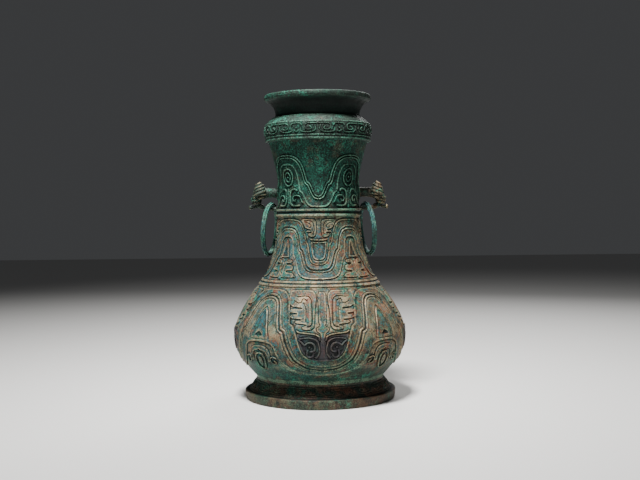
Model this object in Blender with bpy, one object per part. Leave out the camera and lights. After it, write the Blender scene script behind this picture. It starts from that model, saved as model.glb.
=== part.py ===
"""Bronze hu: a tall round-bellied wine vessel on a ring foot, with a lifting lid, two beast-head
lugs and a loose ring in each. Metres, +Z up, the foot stands on Z = 0, the front faces -Y."""

import math

import bmesh
import bpy
import numpy as np
from mathutils import Matrix, Vector
from mathutils.geometry import delaunay_2d_cdt

# The turned body: heights above the table and outer radii
BODY_HEIGHT = 0.508
MOUTH_RADIUS = 0.0995
NECK_RADIUS = 0.0808
NECK_Z = 0.412
BELLY_RADIUS = 0.1700
BELLY_Z = 0.126
WALL = 0.0042
FOOT_HEIGHT = 0.044
FOOT_TOP_RADIUS = 0.1265
FOOT_BASE_RADIUS = 0.1420
FOOT_RIM_RADIUS = 0.1500
FOOT_RIM_HEIGHT = 0.018
FOOT_RIM_WIDTH = 0.0085
FOOT_RIM_TAPER = 0.0028
FLOOR_THICKNESS = 0.0050

# The two raised belts that part the registers of carving
SHOULDER_BELT_Z = 0.226
SHOULDER_BELT_HEIGHT = 0.012
SHOULDER_BELT_PROUD = 0.0025
NECK_BELT_Z = 0.360
NECK_BELT_HEIGHT = 0.015
NECK_BELT_PROUD = 0.0045

# The raised carving
RELIEF = 0.0024
RELIEF_EDGE = 0.0013
GROOVE = 0.0030
STROKE = 0.0026

# The lid
SEAT_GAP = 0.0003
LID_WALL = 0.0042
LID_OVERHANG = 0.0055
LID_BAND_BULGE = 0.0030
LID_BAND_HEIGHT = 0.032
LID_SHOULDER_HEIGHT = 0.047
KNOB_NECK_RADIUS = 0.0840
KNOB_RIM_RADIUS = 0.1060
KNOB_HEIGHT = 0.045
KNOB_LIP = 0.0090
TONGUE_DEPTH = 0.016
TONGUE_CLEARANCE = 0.0008

# The lugs and the rings they hold
LUG_REACH = 0.1235
LUG_RADIUS = 0.0102
LUG_SINK = 0.0022
LUG_HEADROOM = 0.0090
BAR_RADIUS = 0.0038
HORN_HEIGHT = 0.022
HORN_SPREAD = 0.0095
RING_RADIUS = 0.0545
RING_SECTION = 0.0095
RING_GAP = 0.0004
RING_CLEARANCE = 0.0025
RING_TURN = 13.0

# How finely round forms are faceted
HALF_PERIOD = 45.0
COLUMNS = 5
ROW_STEP = 0.030
INNER_ROWS = 11
LID_SIDES = 24
RING_SIDES = 22
SECTION_SIDES = 6


def mix(a, b, share):
    return a + (b - a) * share


def catmull_rom(points, steps):
    """A smooth curve through the points, with the same number of steps between each two."""
    points = [np.array(p, float) for p in points]
    ends = [2 * points[0] - points[1], *points, 2 * points[-1] - points[-2]]
    curve = []
    for a, b, c, d in zip(ends, ends[1:], ends[2:], ends[3:]):
        for step in range(steps):
            t = step / steps
            curve.append(0.5 * (2 * b + (c - a) * t + (2 * a - 5 * b + 4 * c - d) * t * t
                                + (3 * b - a - 3 * c + d) * t * t * t))
    curve.append(points[-1])
    return np.array(curve)


# How the body swells: shares of the height from one bound to the next, shares of the radius
UNDERCUT = ((0.20, 0.33), (0.43, 0.70), (0.68, 0.915))
SHOULDER = ((0.08, 0.966), (0.19, 0.798), (0.28, 0.612), (0.36, 0.417), (0.44, 0.265),
            (0.53, 0.152), (0.62, 0.075), (0.75, 0.027))
NECK_FLARE = ((0.22, 0.045), (0.48, 0.30), (0.74, 0.61))


def body_outline():
    """(radius, height) of the bare outer body, from the top of the foot to the mouth."""
    points = [(FOOT_TOP_RADIUS, FOOT_HEIGHT)]
    for up, out in UNDERCUT:
        points.append((mix(FOOT_TOP_RADIUS, BELLY_RADIUS, out), mix(FOOT_HEIGHT, BELLY_Z, up)))
    points.append((BELLY_RADIUS, BELLY_Z))
    for up, left in SHOULDER:
        points.append((mix(NECK_RADIUS, BELLY_RADIUS, left), mix(BELLY_Z, NECK_Z, up)))
    points.append((NECK_RADIUS, NECK_Z))
    for up, out in NECK_FLARE:
        points.append((mix(NECK_RADIUS, MOUTH_RADIUS, out), mix(NECK_Z, BODY_HEIGHT, up)))
    points.append((MOUTH_RADIUS, BODY_HEIGHT))
    return catmull_rom(points, 16)


OUTLINE = body_outline()
LENGTHS = np.concatenate([[0], np.cumsum(np.hypot(*np.diff(OUTLINE, axis=0).T))])
WHOLE_LENGTH = float(LENGTHS[-1])


def radius_at(z):
    return float(np.interp(z, OUTLINE[:, 1], OUTLINE[:, 0]))


def length_at(z):
    """How far along the outline a height is."""
    return float(np.interp(z, OUTLINE[:, 1], LENGTHS))


def on_outline(length):
    """(radius, height) at a length along the outline."""
    return (float(np.interp(length, LENGTHS, OUTLINE[:, 0])),
            float(np.interp(length, LENGTHS, OUTLINE[:, 1])))


def off_outline(length, height):
    """(radius, height) of the point that stands a height proud of the outline."""
    step = 0.001
    low, high = on_outline(length - step), on_outline(length + step)
    slope = math.hypot(high[0] - low[0], high[1] - low[1])
    radius, z = on_outline(length)
    if 0.0005 < length < WHOLE_LENGTH - 0.0005:
        z -= height * (high[0] - low[0]) / slope
    return radius + height * (high[1] - low[1]) / slope, z


def moved(line, distance):
    """The line moved sideways on the body, to the left of its run for a positive distance."""
    out = []
    for i, (angle, length) in enumerate(line):
        before, after = line[max(i - 1, 0)], line[min(i + 1, len(line) - 1)]
        radius = on_outline(length)[0]
        run = Vector((math.radians(after[0] - before[0]) * radius, after[1] - before[1]))
        run.normalize()
        out.append((angle - math.degrees(distance * run.y / radius), length + distance * run.x))
    return np.array(out)


def kept_at_ends(line, like):
    """The line with its ends set back on the middle lines of trough and crest."""
    line[0, 0], line[-1, 0] = like[0, 0], like[-1, 0]
    return line


def inside(x, y, outline):
    """Whether a point is inside a closed outline, by counting crossings."""
    within = False
    for (ax, ay), (bx, by) in zip(outline, np.roll(outline, -1, axis=0)):
        if (ay > y) != (by > y) and x < (bx - ax) * (y - ay) / (by - ay) + ax:
            within = not within
    return within


class Carving:
    """The raised carving of one eighth of the body, from the middle of a trough at 0 degrees to
    the middle of a crest at HALF_PERIOD. Points are (degrees, length along the outline)."""

    def __init__(self):
        self.lines = []
        self.raised = []

    def register(self, low, high):
        """Start a belt of carving: its drawings give heights in percent of the belt's."""
        self.low, self.high = low, high

    def place(self, drawing):
        return np.array([(a, length_at(mix(self.low, self.high, up / 100))) for a, up in drawing])

    def hoop(self, z, height):
        angles = [HALF_PERIOD * i / COLUMNS for i in range(COLUMNS + 1)]
        self.lines.append((np.array([(a, length_at(z)) for a in angles]), height))

    def belt(self, low, height, proud):
        for z, out in ((low, 0.0), (low + RELIEF_EDGE, proud),
                       (low + height - RELIEF_EDGE, proud), (low + height, 0.0)):
            self.hoop(z, out)

    def band(self, upper, lower):
        """The raised wave band between two lines that run from trough to crest."""
        for line, way in ((upper, -1), (lower, 1)):
            self.lines.append((line, 0.0))
            top = kept_at_ends(moved(line, way * RELIEF_EDGE), line)
            self.lines.append((top, RELIEF))
        self.raised.append(np.concatenate([upper, lower[::-1]]))

    def cut(self, line):
        """A narrow groove along a line of a raised band."""
        self.lines.append((line, 0.0))
        for way in (-GROOVE / 2, GROOVE / 2):
            self.lines.append((kept_at_ends(moved(line, way), line), RELIEF))

    def boss(self, drawing):
        """A raised shape across the middle line of a trough or a crest, drawn as its half with
        the raised side to the right of the run."""
        edge = self.place(drawing)
        self.lines.append((edge, 0.0))
        self.lines.append((kept_at_ends(moved(edge, -RELIEF_EDGE), edge), RELIEF))
        self.raised.append(edge)

    def hook(self, drawing, half_width=STROKE):
        """A raised stroke of one width along a path."""
        path = self.place(drawing)
        for cut, height in ((0.0, 0.0), (RELIEF_EDGE, RELIEF)):
            run = path.copy()
            for end, inner in ((0, 1), (-1, -2)):
                ahead = path[inner] - path[end]
                radius = on_outline(path[end][1])[0]
                span = math.hypot(math.radians(ahead[0]) * radius, ahead[1])
                run[end] = path[end] + ahead * (cut / span)
            left = moved(run, half_width - cut)
            right = moved(run, cut - half_width)
            loop = np.concatenate([left, right[::-1], left[:1]])
            self.lines.append((loop, height))
            if not cut:
                self.raised.append(loop)

    def height_at(self, angle, length):
        return RELIEF if any(inside(angle, length, area) for area in self.raised) else 0.0


def carve():
    """The three registers of wave bands and what fills their troughs and crests."""
    work = Carving()
    work.register(FOOT_HEIGHT, SHOULDER_BELT_Z)
    upper = work.place([(0, 29), (8, 30.5), (13, 36), (15.5, 45), (19.5, 62), (22, 65),
                        (23.5, 75), (26, 86), (31, 94), (45, 97)])
    groove = work.place([(0, 17), (10, 19.5), (17, 25), (22, 36), (24.5, 48), (26.5, 56),
                         (29, 59), (31, 70), (34, 82), (38, 88.5), (45, 90.5)])
    outer = work.place([(0, 10), (14, 12.5), (24, 19), (30, 29), (33, 41), (38, 46.5),
                        (45, 47.5)])
    work.band(upper, outer)
    work.cut(groove)
    work.boss([(0, 53), (8, 55), (14, 53.5), (12.4, 43), (10, 37), (6, 34), (0, 33)])
    work.hook([(21, 92), (8, 93), (5.5, 87), (7.5, 70), (12, 62), (15.5, 64.5)])
    work.boss([(45, 18), (42.2, 19.5), (41, 26), (42.2, 33), (45, 34.5)])
    work.belt(SHOULDER_BELT_Z, SHOULDER_BELT_HEIGHT, SHOULDER_BELT_PROUD)

    work.register(SHOULDER_BELT_Z + SHOULDER_BELT_HEIGHT, NECK_BELT_Z)
    upper = work.place([(0, 30), (6, 33), (10, 44), (12, 57.5), (14.7, 61), (16.5, 74),
                        (20, 86), (26, 93.5), (45, 95.5)])
    groove = work.place([(0, 16.5), (12, 18.5), (17, 30.5), (20.5, 43), (22, 47.5),
                         (24.5, 51), (27, 67), (32, 78.5), (45, 82.5)])
    outer = work.place([(0, 2), (14, 3.5), (23, 13), (28, 28), (30.5, 35.5), (33.5, 38),
                        (35.5, 55), (39, 64), (45, 66)])
    work.band(upper, outer)
    work.cut(groove)
    work.boss([(0, 62.5), (8.8, 62), (8, 52), (6.2, 42), (0, 37)])
    work.hook([(17, 90.5), (5, 90.5), (4.5, 82.5), (11, 80), (10.5, 71.5), (2.8, 71)])
    work.boss([(45, 32), (38.5, 34), (41.5, 46), (45, 57.5)])
    work.hook([(28, 7), (41, 7), (41, 24), (33.5, 24), (33.5, 15.5)], STROKE * 0.9)
    work.belt(NECK_BELT_Z, NECK_BELT_HEIGHT, NECK_BELT_PROUD)

    work.register(NECK_BELT_Z + NECK_BELT_HEIGHT, BODY_HEIGHT)
    upper = work.place([(0, 16.5), (4, 19), (9, 33), (11, 37), (15, 40), (18, 54.5),
                        (22, 67.5), (29, 75.5), (45, 77.4)])
    lower = work.place([(0, 3), (11, 4.5), (17.5, 15), (21.5, 24.5), (25.5, 27), (28.5, 40),
                        (31, 53), (36, 61.5), (45, 63.5)])
    work.band(upper, lower)
    work.boss([(45, 33.5), (38.5, 36), (35, 45), (38.5, 54.5), (45, 58)])
    work.hook([(26.5, 6.5), (41, 6.5), (41, 26), (33, 26), (33, 15.5)], STROKE * 0.9)
    return work


def eighth(work):
    """Triangles over one eighth of the body: points (degrees, length, height) and faces."""
    scale = (radius_at(NECK_Z) + BELLY_RADIUS) / 2
    points, heights, edges = [], [], []

    def flat(angle, length):
        return Vector((math.radians(angle) * scale, length))

    for line, height in work.lines:
        closed = np.array_equal(line[0], line[-1])
        first = len(points)
        for angle, length in line[:-1] if closed else line:
            points.append((float(angle), float(length)))
            heights.append(height)
        last = len(points) - 1
        edges += [(i, i + 1) for i in range(first, last)]
        if closed:
            edges.append((last, first))
    runs = np.array([(*flat(*points[i]), *flat(*points[j])) for i, j in edges])

    def far_from_lines(angle, length, least):
        x, y = flat(angle, length)
        ahead = runs[:, 2:] - runs[:, :2]
        share = ((x - runs[:, 0]) * ahead[:, 0] + (y - runs[:, 1]) * ahead[:, 1])
        share = np.clip(share / (ahead ** 2).sum(axis=1), 0, 1)
        near = runs[:, :2] + ahead * share[:, None]
        return np.hypot(near[:, 0] - x, near[:, 1] - y).min() > least

    rows = round(WHOLE_LENGTH / ROW_STEP)
    for row in range(rows + 1):
        length = WHOLE_LENGTH * row / rows
        for column in range(COLUMNS + 1):
            angle = HALF_PERIOD * column / COLUMNS
            if row in (0, rows) or far_from_lines(angle, length, 0.0085):
                points.append((angle, length))
                heights.append(work.height_at(angle + 0.001, length) if column < COLUMNS
                               else work.height_at(angle - 0.001, length))
    for side in (0.0, HALF_PERIOD):
        border = sorted((p[1], i) for i, p in enumerate(points) if p[0] == side)
        edges += [(a[1], b[1]) for a, b in zip(border, border[1:])]
    flats = [flat(*p) for p in points]
    result = delaunay_2d_cdt(flats, edges, [], 0, 1e-7)
    faces, origins = result[2], result[3]
    out = []
    for place, origin in zip(result[0], origins):
        if origin:
            out.append((*points[origin[0]], heights[origin[0]]))
        else:
            out.append((math.degrees(place.x / scale), place.y, 0.0))
    return out, faces


def outer_body(mesh, work):
    """The carved outside from the foot to the mouth; returns its lowest and highest loops."""
    points, faces = eighth(work)
    made = {}
    loops = {0.0: {}, WHOLE_LENGTH: {}}
    for part in range(8):
        index = []
        for i, (angle, length, height) in enumerate(points):
            turn = part * HALF_PERIOD + angle if part % 2 == 0 else (part + 1) * HALF_PERIOD - angle
            on_border = angle in (0.0, HALF_PERIOD)
            key = (round(turn / HALF_PERIOD) % 8, i) if on_border else (part, i, "inner")
            if key not in made:
                radius, z = off_outline(length, height)
                spin = math.radians(turn)
                made[key] = mesh.verts.new((radius * math.sin(spin), -radius * math.cos(spin), z))
                if length in loops:
                    loops[length][round(turn * COLUMNS / HALF_PERIOD) % (8 * COLUMNS)] = made[key]
            index.append(made[key])
        for face in faces:
            mesh.faces.new([index[i] for i in face])
    return [[loop[i] for i in range(8 * COLUMNS)] for loop in loops.values()]


def hoops_on(mesh, loop, rows):
    """Strips from a loop of vertices through each (radius, height); a zero radius closes it."""
    count = len(loop)
    for radius, z in rows:
        if radius == 0:
            tip = mesh.verts.new((0, 0, z))
            for a, b in zip(loop, loop[1:] + loop[:1]):
                mesh.faces.new((a, b, tip))
            return
        new = []
        for i in range(count):
            spin = 2 * math.pi * i / count
            new.append(mesh.verts.new((radius * math.sin(spin), -radius * math.cos(spin), z)))
        for i in range(count):
            j = (i + 1) % count
            mesh.faces.new((loop[i], loop[j], new[j], new[i]))
        loop = new


def finished(mesh, name, material):
    """An object with outward normals, in triangles."""
    bmesh.ops.recalc_face_normals(mesh, faces=mesh.faces)
    bmesh.ops.triangulate(mesh, faces=mesh.faces)
    data = bpy.data.meshes.new(name)
    mesh.to_mesh(data)
    mesh.free()
    thing = bpy.data.objects.new(name, data)
    bpy.context.collection.objects.link(thing)
    if material:
        data.materials.append(material)
    return thing


def bronze(name, colour, roughness):
    material = bpy.data.materials.new(name)
    material.use_nodes = True
    shader = material.node_tree.nodes["Principled BSDF"]
    shader.inputs["Base Color"].default_value = (*colour, 1)
    shader.inputs["Roughness"].default_value = roughness
    shader.inputs["Metallic"].default_value = 0.55
    material.diffuse_color = (*colour, 1)
    return material


def vessel_shell(material):
    mesh = bmesh.new()
    low, high = outer_body(mesh, carve())
    inner_start = length_at(FOOT_HEIGHT + 2 * FLOOR_THICKNESS)
    inner = [off_outline(mix(inner_start, WHOLE_LENGTH - WALL, i / INNER_ROWS), -WALL)
             for i in range(INNER_ROWS, -1, -1)]
    floor = FOOT_HEIGHT + FLOOR_THICKNESS
    hoops_on(mesh, high, [(MOUTH_RADIUS - WALL, BODY_HEIGHT), *inner,
                          (FOOT_TOP_RADIUS - WALL * 0.5, floor + FLOOR_THICKNESS * 0.2),
                          (0, floor)])
    rim = FOOT_RIM_HEIGHT
    rise = FOOT_HEIGHT - rim
    step = FOOT_BASE_RADIUS - FOOT_TOP_RADIUS
    hoops_on(mesh, low, [
        (FOOT_TOP_RADIUS + 0.26 * step, rim + 0.68 * rise),
        (FOOT_TOP_RADIUS + 0.78 * step, rim + 0.28 * rise),
        (FOOT_BASE_RADIUS, rim + 0.03 * rise),
        (FOOT_RIM_RADIUS - FOOT_RIM_TAPER * 0.4, rim),
        (FOOT_RIM_RADIUS, rim * 0.92),
        (FOOT_RIM_RADIUS - FOOT_RIM_TAPER, 0),
        (FOOT_RIM_RADIUS - FOOT_RIM_WIDTH, 0),
        (FOOT_RIM_RADIUS - FOOT_RIM_WIDTH, rim - WALL),
        (FOOT_TOP_RADIUS + 0.50 * step - WALL, rim + 0.40 * rise),
        (FOOT_TOP_RADIUS - WALL * 1.5, FOOT_HEIGHT),
        (0, FOOT_HEIGHT)])
    return finished(mesh, "vessel", material)


def swept(name, stations, sides):
    """A closed round bar through stations (x, z, half width along y, half thickness)."""
    mesh = bmesh.new()
    rings = []
    for i, (x, z, wide, thick) in enumerate(stations):
        before, after = stations[max(i - 1, 0)], stations[min(i + 1, len(stations) - 1)]
        run = Vector((after[0] - before[0], after[1] - before[1])).normalized()
        ring = []
        for side in range(sides):
            turn = 2 * math.pi * (side + 0.5) / sides
            out = thick * math.cos(turn)
            ring.append(mesh.verts.new((x - run.y * out, wide * math.sin(turn), z + run.x * out)))
        rings.append(ring)
    for a, b in zip(rings, rings[1:]):
        for i in range(sides):
            j = (i + 1) % sides
            mesh.faces.new((a[i], a[j], b[j], b[i]))
    mesh.faces.new(rings[0])
    mesh.faces.new(rings[-1])
    return finished(mesh, name, None)


def join(body, cutters):
    """Fuse the cutters to the body as one solid."""
    for cutter in cutters:
        cutter.display_type = "WIRE"
        cutter.hide_render = True
        fuse = body.modifiers.new("fuse", "BOOLEAN")
        fuse.operation = "UNION"
        fuse.solver = "EXACT"
        fuse.object = cutter
        bpy.context.view_layer.objects.active = body
        bpy.ops.object.modifier_apply(modifier=fuse.name)
        bpy.data.objects.remove(cutter)
    return body


BAR_Z = NECK_BELT_Z + NECK_BELT_HEIGHT + RING_GAP
LUG_Z = BAR_Z + BAR_RADIUS + RING_GAP + RING_SECTION + LUG_HEADROOM + LUG_RADIUS
PIVOT_X = radius_at(BAR_Z) + NECK_BELT_PROUD + RING_SECTION / 2 + RING_CLEARANCE
PIVOT_Z = BAR_Z + BAR_RADIUS + RING_GAP + RING_SECTION / 2


def lug(way):
    """A beast's head on a short neck, its curled trunk run back to the belt as a bar."""
    root = radius_at(LUG_Z) - LUG_SINK
    x, z, r = LUG_REACH, LUG_Z, LUG_RADIUS
    belt = radius_at(BAR_Z) + NECK_BELT_PROUD * 0.4
    b = BAR_RADIUS
    neck = [(root, z - r * 0.1, r, r), (x - r * 2.55, z, r * 0.98, r * 0.98),
            (x - r * 1.08, z - r * 0.1, r * 1.1, r * 1.1), (x - r * 0.3, z - r * 0.2, r, r)]
    head = [(x - r * 0.7, z + r * 0.7, r * 0.8, r * 0.75),
            (x - r * 0.45, z + r * 0.3, r * 1.3, r),
            (x - r * 0.15, z - r * 0.6, r * 1.25, r * 1.04),
            (x, z - r * 1.37, r, r * 0.96), (x, z - r * 2.06, r * 0.85, r * 0.84),
            (x - r * 0.1, z - r * 2.4, r * 0.6, r * 0.55)]
    bar = [(belt, BAR_Z, b, b), (PIVOT_X + b * 2.1, BAR_Z, b, b),
           (x - r * 1.18, BAR_Z + b * 0.53, b, b),
           (x - r * 0.2, BAR_Z + b * 1.97, b * 1.1, b * 1.1),
           (x + r * 0.6, BAR_Z + b * 1.05, b * 0.9, b * 0.85),
           (x + r * 1.18, BAR_Z + b * 0.66, b * 0.9, b * 0.95),
           (x + r * 1.52, BAR_Z + b * 0.92, b * 0.5, b * 0.5)]
    parts = [swept("head", head, 8), swept("bar", bar, 6)]
    for side in (-1, 1):
        horn = swept("horn", [(x - r * 0.54, z - r * 0.1, r * 0.85, r * 1.08),
                              (x - r * 0.54, z + HORN_HEIGHT * 0.25, r * 0.86, r * 1.06),
                              (x - r * 0.49, z + HORN_HEIGHT * 0.60, r * 0.66, r * 0.82),
                              (x - r * 0.44, z + HORN_HEIGHT * 0.88, r * 0.42, r * 0.50),
                              (x - r * 0.41, z + HORN_HEIGHT, r * 0.16, r * 0.18)], 8)
        horn.data.transform(Matrix.Translation((0, side * HORN_SPREAD, 0)))
        parts.append(horn)
    whole = join(swept("lug", neck, 10), parts)
    if way < 0:
        whole.data.transform(Matrix.Scale(-1, 4, (1, 0, 0)))
        whole.data.flip_normals()
    return whole


def proud_radius(z):
    """The widest the carved body can be at a height."""
    belt = NECK_BELT_Z - RELIEF < z < NECK_BELT_Z + NECK_BELT_HEIGHT + RELIEF
    return radius_at(z) + (NECK_BELT_PROUD if belt else RELIEF)


def ring_frame(lean, way):
    """The ring's turn and lean, and its place: the frame's origin is the middle of its top."""
    turned = Matrix.Rotation(math.radians(RING_TURN), 4, "Z")
    leant = Matrix.Rotation(-lean, 4, "Y")
    frame = Matrix.Translation((PIVOT_X, 0, PIVOT_Z)) @ turned @ leant
    if way < 0:
        frame = Matrix.Scale(-1, 4, (1, 0, 0)) @ frame
    return frame


def resting_lean():
    """How far the ring leans out from upright when it lies against the belly's rise."""
    middle = RING_RADIUS - RING_SECTION / 2
    for tenth in range(200):
        lean = math.radians(tenth / 10)
        frame = ring_frame(lean, 1)
        clear = []
        for step in range(96):
            turn = 2 * math.pi * step / 96
            place = frame @ Vector((0, middle * math.sin(turn), middle * (math.cos(turn) - 1)))
            clear.append(math.hypot(place.x, place.y) - proud_radius(place.z))
        if min(clear) > RING_SECTION / 2 + RING_GAP:
            return lean
    return lean


def ring(name, way, material):
    mesh = bmesh.new()
    middle = RING_RADIUS - RING_SECTION / 2
    frame = ring_frame(resting_lean(), way)
    rings = []
    for step in range(RING_SIDES):
        turn = 2 * math.pi * step / RING_SIDES
        row = []
        for side in range(SECTION_SIDES):
            around = 2 * math.pi * side / SECTION_SIDES
            reach = middle + RING_SECTION / 2 * math.cos(around)
            place = Vector((RING_SECTION / 2 * math.sin(around), reach * math.sin(turn),
                            reach * math.cos(turn) - middle))
            row.append(mesh.verts.new(frame @ place))
        rings.append(row)
    for i in range(RING_SIDES):
        a, b = rings[i], rings[(i + 1) % RING_SIDES]
        for side in range(SECTION_SIDES):
            other = (side + 1) % SECTION_SIDES
            mesh.faces.new((a[side], a[other], b[other], b[side]))
    return finished(mesh, name, material)


def lid(material):
    """The lid: a banded rim over the mouth, a domed top, an open ring knob and a tongue."""
    seat = BODY_HEIGHT + SEAT_GAP
    rim = MOUTH_RADIUS + LID_OVERHANG
    bulge = rim + LID_BAND_BULGE
    band = seat + LID_BAND_HEIGHT
    top = seat + LID_SHOULDER_HEIGHT
    crown = top + KNOB_HEIGHT
    neck = KNOB_NECK_RADIUS
    flare = KNOB_RIM_RADIUS - neck
    deep_radius, deep_z = off_outline(length_at(BODY_HEIGHT - TONGUE_DEPTH), -WALL)
    root = MOUTH_RADIUS - WALL - TONGUE_CLEARANCE
    wall = LID_WALL
    rows = [
        (root, seat), (rim, seat), (rim + 0.4 * LID_BAND_BULGE, seat + 0.16 * LID_BAND_HEIGHT),
        (bulge, seat + 0.66 * LID_BAND_HEIGHT), (bulge - 0.33 * LID_BAND_BULGE, band),
        (rim - LID_BAND_BULGE, mix(band, top, 0.43)), (neck + 0.43 * flare, top - wall * 0.48),
        (neck, top + wall * 0.7), (neck + 0.12 * flare, top + 0.40 * KNOB_HEIGHT),
        (neck + 0.34 * flare, top + 0.60 * KNOB_HEIGHT),
        (neck + 0.80 * flare, crown - KNOB_LIP * 1.2),
        (KNOB_RIM_RADIUS, crown - KNOB_LIP * 0.60),
        (KNOB_RIM_RADIUS - KNOB_LIP * 0.07, crown - KNOB_LIP * 0.15),
        (KNOB_RIM_RADIUS - KNOB_LIP * 0.39, crown),
        (neck + 0.62 * flare - wall * 0.4, crown - KNOB_LIP * 0.55),
        (neck + 0.34 * flare - wall, top + 0.66 * KNOB_HEIGHT),
        (neck - wall + 0.06 * flare, top + 0.36 * KNOB_HEIGHT),
        (neck - wall * 1.48, top + wall * 0.48), (0, top + wall * 0.95)]
    under = [
        (root - wall * 0.8, seat + wall), (rim - wall, seat + wall * 1.24),
        (bulge - wall, seat + 0.66 * LID_BAND_HEIGHT),
        (bulge - wall * 1.36, band - wall * 0.36),
        (neck + wall * 0.95, top - wall * 2.07), (0, top - wall)]
    mesh = bmesh.new()
    loop = []
    for i in range(LID_SIDES):
        spin = 2 * math.pi * i / LID_SIDES
        radius = deep_radius - TONGUE_CLEARANCE
        loop.append(mesh.verts.new((radius * math.sin(spin), -radius * math.cos(spin), deep_z)))
    hoops_on(mesh, loop, rows)
    hoops_on(mesh, loop, [(deep_radius - TONGUE_CLEARANCE - wall * 0.8, deep_z), *under])
    return finished(mesh, "lid", material)


def main():
    for thing in list(bpy.data.objects):
        bpy.data.objects.remove(thing)
    vessel = vessel_shell(bronze("vessel_bronze", (0.070, 0.115, 0.092), 0.58))
    join(vessel, [lug(-1), lug(1)])
    cleaner = bmesh.new()
    cleaner.from_mesh(vessel.data)
    bmesh.ops.triangulate(cleaner, faces=cleaner.faces)
    bmesh.ops.dissolve_degenerate(cleaner, edges=cleaner.edges, dist=1e-5)
    cleaner.to_mesh(vessel.data)
    cleaner.free()
    lid(bronze("lid_bronze", (0.060, 0.120, 0.095), 0.55))
    ring("ring_left", -1, bronze("ring_left_bronze", (0.160, 0.230, 0.200), 0.50))
    ring("ring_right", 1, bronze("ring_right_bronze", (0.170, 0.230, 0.200), 0.50))


main()
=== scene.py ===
"""Looks for the bronze hu: carved body, lid, beast-head lugs and rings, with their patina."""

import math

import bpy
import numpy as np
from bpy.props import FloatProperty, FloatVectorProperty, IntProperty, PointerProperty
from mathutils import Matrix, Vector
from mathutils.geometry import delaunay_2d_cdt


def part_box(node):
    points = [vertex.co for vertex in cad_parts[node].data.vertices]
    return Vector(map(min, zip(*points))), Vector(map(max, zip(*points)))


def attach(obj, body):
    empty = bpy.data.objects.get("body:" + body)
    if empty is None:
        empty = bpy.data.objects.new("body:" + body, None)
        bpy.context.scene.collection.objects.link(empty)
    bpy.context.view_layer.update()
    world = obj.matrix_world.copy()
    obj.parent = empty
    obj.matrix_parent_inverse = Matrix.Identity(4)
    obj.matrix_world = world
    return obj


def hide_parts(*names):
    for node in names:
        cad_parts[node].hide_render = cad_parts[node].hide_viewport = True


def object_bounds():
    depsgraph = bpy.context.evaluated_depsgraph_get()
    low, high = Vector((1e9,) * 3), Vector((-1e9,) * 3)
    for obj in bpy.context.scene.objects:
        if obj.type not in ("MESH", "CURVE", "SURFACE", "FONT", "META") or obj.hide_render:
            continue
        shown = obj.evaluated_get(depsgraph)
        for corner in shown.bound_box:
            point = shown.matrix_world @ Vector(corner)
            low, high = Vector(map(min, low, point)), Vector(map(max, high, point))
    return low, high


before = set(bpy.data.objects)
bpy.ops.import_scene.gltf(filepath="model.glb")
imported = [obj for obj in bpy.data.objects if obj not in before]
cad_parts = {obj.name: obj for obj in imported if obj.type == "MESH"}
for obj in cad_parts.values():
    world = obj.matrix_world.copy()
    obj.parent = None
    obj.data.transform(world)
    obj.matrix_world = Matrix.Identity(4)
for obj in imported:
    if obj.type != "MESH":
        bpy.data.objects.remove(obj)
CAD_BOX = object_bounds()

bl_info = {
    "name": "Bronze hu finish",
    "version": (1, 0, 0),
    "blender": (4, 5, 0),
    "location": "View3D > Sidebar > Hu",
    "description": "Builds the carved and patinated pieces of a bronze hu around its CAD frame",
    "category": "Object",
}

MM = 0.001
TOTAL_HEIGHT = CAD_BOX[1][2] - CAD_BOX[0][2]
BODY_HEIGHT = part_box("vessel")[1][2]

# Drawn heights and radii are in millimetres on a vessel this tall with its lid on
DRAWN_HEIGHT = 600.3 * MM
SCALE = TOTAL_HEIGHT / DRAWN_HEIGHT
HALF_PERIOD = 45.0

# The cut of the carving: the run-up of a raised field or a pit, and the trench round a form
EDGE = 0.7 * MM
PIT_EDGE = 0.8 * MM
TRENCH, TRENCH_LIP = 1.5 * MM, 0.3 * MM

# The carved mesh: room at the borders and round guide points, and the least gap of its rows
BORDER_GAP = 0.25 * MM
GUIDE_GAP, CELL = 0.95 * MM, 1.0 * MM
ROW_GAP, HOOP_REACH = 0.3 * MM, 0.31 * MM
HAIR = 1e-6


def length_setting(name, description, millimetres):
    """A described length property."""
    return FloatProperty(name=name, description=description, default=millimetres * MM,
                         unit="LENGTH")


def colour_setting(name, description, *colour):
    """A described colour property, in linear light."""
    return FloatVectorProperty(name=name, description=description, default=colour,
                               subtype="COLOR", size=3)


class HuSizes(bpy.types.PropertyGroup):
    relief: length_setting("Relief", "How proud the carving stands", 2.85)
    sunk: length_setting("Sunk ground", "How far the carved ground lies under the outline", 1.0)
    groove: FloatProperty(name="Groove", default=0.3, description="How deep grooves go under the "
                          "ground, as a share of the relief")
    wall: length_setting("Wall", "Thickness of the cast wall", 4.2)
    rim: length_setting("Raised edge", "Width of a ribbon's raised edge", 1.7)
    line_step: length_setting("Line step", "Spacing of points along carved lines", 1.7)
    field_step: length_setting("Field step", "Spacing of points between lines", 2.7)
    columns: IntProperty(name="Columns", description="Columns in one mirrored part of a band",
                         default=30)


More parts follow.
